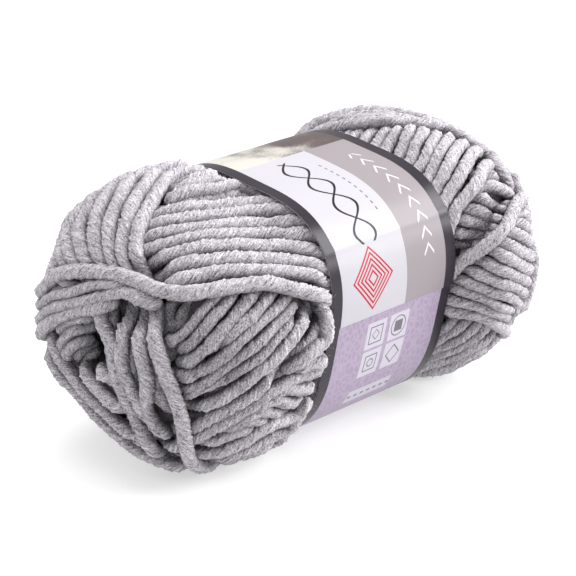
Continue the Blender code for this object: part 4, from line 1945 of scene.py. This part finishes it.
@dataclass(frozen=True)
class PaperFinish:
    """Coated paper, printed with plain panels and small generic ornaments.

    Places on the strip are in millimetres: length from the free end, width from the near rim.

    Attributes:
        near_border: width at which the near rim's dark border ends.
        far_border: width at which the far rim's begins.
        panel_edge: width at which white turns to taupe.
        panel_end: length at which the front panels end.
        mottle_end: length at which the mottled panel ends and the lilac one begins.
        clouds: scale of the mottling's clouds along and across, in cells a millimetre.
        wool: scale of its fine wool.
        mottle: how much of its tone comes from clouds, wool and each millimetre of width.
        to_brown: the tones from which and up to which cream turns to brown.
        pebble: length and width of a pebble.
        pebble_edge: how far from a pebble's edge its colour starts and is full.
        dash_box: the pale box round the dashes: its widths and its lengths.
        gloss: roughness of the panels, and how much less the borders have.
    """

    white: Colour = (0.40, 0.385, 0.42)
    taupe: Colour = (0.235, 0.21, 0.222)
    lilac: Colour = (0.262, 0.212, 0.292)
    pale_lilac: Colour = (0.31, 0.256, 0.342)
    box: Colour = (0.43, 0.40, 0.465)
    chevron: Colour = (0.52, 0.50, 0.52)
    border: Colour = (0.024, 0.020, 0.027)
    ink: Colour = (0.012, 0.010, 0.014)
    grey_ink: Colour = (0.12, 0.11, 0.125)
    red: Colour = (0.38, 0.022, 0.035)
    cream: Colour = (0.46, 0.44, 0.40)
    brown: Colour = (0.075, 0.055, 0.055)
    near_border: float = 4.2
    far_border: float = 54.1
    panel_edge: float = 34.6
    panel_end: float = 66.5
    mottle_end: float = 118.0
    waves: CrossingWaves = CrossingWaves()
    dots: Dashes = Dashes(middle=29.8, half_stroke=0.28, pitch=2.4, start=30.0, end=57.0)
    diamonds: NestedDiamonds = NestedDiamonds()
    chevrons: Chevrons = Chevrons()
    clouds: Triple = (0.11, 0.09, 1.0)
    wool: Triple = (1.3, 1.3, 1.0)
    mottle: Triple = (0.75, 0.5, 0.011)
    to_brown: Pair = (0.72, 1.12)
    pebble: Pair = (2.6, 1.9)
    pebble_edge: Pair = (0.04, 0.22)
    signs: tuple[Sign, ...] = (
        Sign(23.0, 245.0, (Ring(Shape.SQUARE, 2.5, 2.9), Ring(Shape.ROUND, 1.1, 1.5))),
        Sign(34.0, 245.0, (Ring(Shape.DIAMOND, 2.9, 3.5),)),
        Sign(23.0, 255.0, (Ring(Shape.SQUARE, 2.7, 3.1), Ring(Shape.DIAMOND, 1.5, 1.9))),
        Sign(34.0, 255.0, (Ring(Shape.SQUARE, -1.0, 1.9), Ring(Shape.ROUND, 3.2, 3.6))),
    )
    dash_box: tuple[Pair, Pair] = ((18.0, 39.0), (229.5, 235.0))
    dashes: Dashes = Dashes(middle=232.2, half_stroke=0.5, pitch=3.1, start=18.0, end=39.0)
    gloss: Pair = (0.38, 0.12)

    def build(self) -> bpy.types.Material:
        """Makes the material.

        Returns:
            It, reading the strip's own flat coordinates.
        """
        recipe = Recipe("printed_paper")
        flat = recipe.stretched(recipe.attribute("flat"), (1 / MM, 1 / MM, 1.0))
        length, width, inside = recipe.parts(flat)
        vector = recipe.stretched(recipe.attribute("flat"), (1 / MM, 1 / MM, 0.0))
        at = StripPlace(length, width, vector)
        taupe = recipe.blend(self.chevrons.mask(at), self.taupe, self.chevron)
        panel = recipe.blend(width.step(self.panel_edge), self.on_white(recipe, at), taupe)
        mottled, lilac = self.mottled(recipe, at), self.on_lilac(recipe, at)
        rest = recipe.blend(length.step(self.mottle_end), mottled, lilac)
        front = recipe.blend(length.step(self.panel_end), panel, rest)
        rims = width.step(self.far_border) + width.below(self.near_border)
        face = recipe.blend(rims, front, self.border)
        recipe.colour(recipe.blend(inside.step(0.5), face, self.white))
        rough, smoother = self.gloss
        roughness = rims * -smoother + rough
        recipe.tree.links.new(roughness.socket, recipe.shader.inputs["Roughness"])
        recipe.set(Specular_IOR_Level=0.15)
        return recipe.material

    def on_white(self, recipe: Recipe, at: StripPlace) -> Socket:
        """The white panel: two crossing waves, a fine dotted line and nested red diamonds.

        Args:
            recipe: the material.
            at: the place on the strip.

        Returns:
            The panel's colour.
        """
        colour = recipe.blend(self.waves.mask(at), self.white, self.ink)
        colour = recipe.blend(self.dots.mask(at.length, at.width), colour, self.grey_ink)
        return recipe.blend(self.diamonds.mask(at), colour, self.red)

    def mottled(self, recipe: Recipe, at: StripPlace) -> Socket:
        """The top panel: woolly cream and brown mottling, darker towards the far rim.

        Args:
            recipe: the material.
            at: the place on the strip.

        Returns:
            The panel's colour.
        """
        clouds = recipe.noise(recipe.stretched(at.vector, self.clouds), 2.0)
        wool = recipe.noise(recipe.stretched(at.vector, self.wool), 4.0, 0.8)
        tone = clouds * self.mottle[0] + wool * self.mottle[1] + at.width * self.mottle[2]
        return recipe.blend(tone.ramp(*self.to_brown), self.cream, self.brown)

    def on_lilac(self, recipe: Recipe, at: StripPlace) -> Socket:
        """The lilac panel: a tone-on-tone pebble pattern, signs in boxes, and boxed dashes.

        Args:
            recipe: the material.
            at: the place on the strip.

        Returns:
            The panel's colour.
        """
        pebbles = recipe.stretched(at.vector, (1 / self.pebble[0], 1 / self.pebble[1], 1.0))
        edges = recipe.cell_edges(pebbles).ramp(*self.pebble_edge)
        colour = recipe.blend(edges, self.pale_lilac, self.lilac)
        boxes, lines = zip(*(sign.masks(at) for sign in self.signs))
        widths, lengths = self.dash_box
        dash_box = at.width.between(*widths) * at.length.between(*lengths)
        marks = reduce(Field.either, lines).either(self.dashes.mask(at.width, at.length))
        colour = recipe.blend(reduce(Field.either, boxes).either(dash_box), colour, self.box)
        return recipe.blend(marks, colour, self.grey_ink)


# ---------------------------------------- stage


def look_at(place: Triple, target: Triple) -> Matrix:
    """The placement of a light at a place that faces a target."""
    aim = Vector(target) - Vector(place)
    return Matrix.Translation(Vector(place)) @ aim.to_track_quat("-Z", "Y").to_matrix().to_4x4()


@dataclass(frozen=True)
class SoftLight:
    """A square white studio light."""

    name: str
    place: Triple
    side: float
    watts: float
    aim: Triple = (0.0, 0.0, 0.04)

    def build(self) -> None:
        """Adds the light, facing the ball."""
        data = bpy.data.lights.new(self.name, "AREA")
        data.shape = "SQUARE"
        data.size = self.side
        data.energy = self.watts
        light = bpy.data.objects.new(self.name, data)
        bpy.context.scene.collection.objects.link(light)
        light.matrix_world = look_at(self.place, self.aim)


@dataclass(frozen=True)
class Studio:
    """A plain white floor under even light, with softboxes over and beside the ball."""

    floor_half: float = 6.0
    world_light: float = 0.65
    floor_white: float = 0.48
    floor_glow: float = 0.52
    lights: tuple[SoftLight, ...] = (
        SoftLight("top_softbox", (0.0, 0.15, 1.0), 0.7, 9.2),
        SoftLight("right_softbox", (0.8, -0.68, 0.55), 0.7, 20.5),
        SoftLight("left_softbox", (-0.6, 0.0, 0.8), 0.7, 1.8),
    )

    def build(self) -> None:
        """Adds the floor, the world's light and the softboxes."""
        half = self.floor_half
        corners = np.array([[-half, -half, 0], [half, -half, 0], [half, half, 0], [-half, half, 0]])
        floor = new_piece("floor", mesh_of("floor", corners, [np.array([[0, 1, 2, 3]])]))
        floor.data.materials.append(self.floor_material())
        world = bpy.data.worlds.new("even_light")
        world.use_nodes = True
        backdrop = world.node_tree.nodes["Background"]
        backdrop.inputs["Color"].default_value = (1.0, 1.0, 1.0, 1.0)
        backdrop.inputs["Strength"].default_value = self.world_light
        bpy.context.scene.world = world
        for light in self.lights:
            light.build()
        bpy.context.scene.view_settings.view_transform = "Standard"

    def floor_material(self) -> bpy.types.Material:
        """Matt white, lit a little from within, as a light table is.

        Returns:
            The material.
        """
        material = bpy.data.materials.new("floor_white")
        material.use_nodes = True
        shader = material.node_tree.nodes["Principled BSDF"]
        shader.inputs["Base Color"].default_value = (*[self.floor_white] * 3, 1.0)
        shader.inputs["Roughness"].default_value = 0.9
        shader.inputs["Emission Color"].default_value = (1.0, 1.0, 1.0, 1.0)
        shader.inputs["Emission Strength"].default_value = self.floor_glow
        return material


def add(piece: bpy.types.Object, material: bpy.types.Material, node: str) -> None:
    """Gives a piece its material, its body and the node that it replaces.

    Args:
        piece: the finished piece.
        material: what it is made of.
        node: the frame's node that it stands in for.
    """
    piece.data.materials.append(material)
    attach(piece, "root")
    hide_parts(node)
    log.info("%s: %d faces", piece.name, len(piece.data.polygons))


def main() -> None:
    """Builds the pieces in order and reports each."""
    logging.basicConfig(level=logging.INFO, format="%(message)s")
    form, camera = BallForm(), PhotoCamera()
    camera.build()
    Studio().build()
    yarn = WoundYarn(Winding(form, camera), YarnTube())
    yarn.wind()
    spun = YarnFinish().build()
    for kind in YarnPiece:
        add(yarn.build(kind), spun, "wound_yarn")
    loose = Fuzz().build(yarn.turns, yarn.winding.radius)
    add(loose, LooseFibreFinish().build(), "wound_yarn")
    add(InnerTurns(form, camera).build(), spun, "wound_yarn")
    band = PaperBand(form)
    strip = band.build()
    add(strip, PaperFinish().build(), "paper_band")
    band.flat_size()


if __name__ == "__main__":
    main()
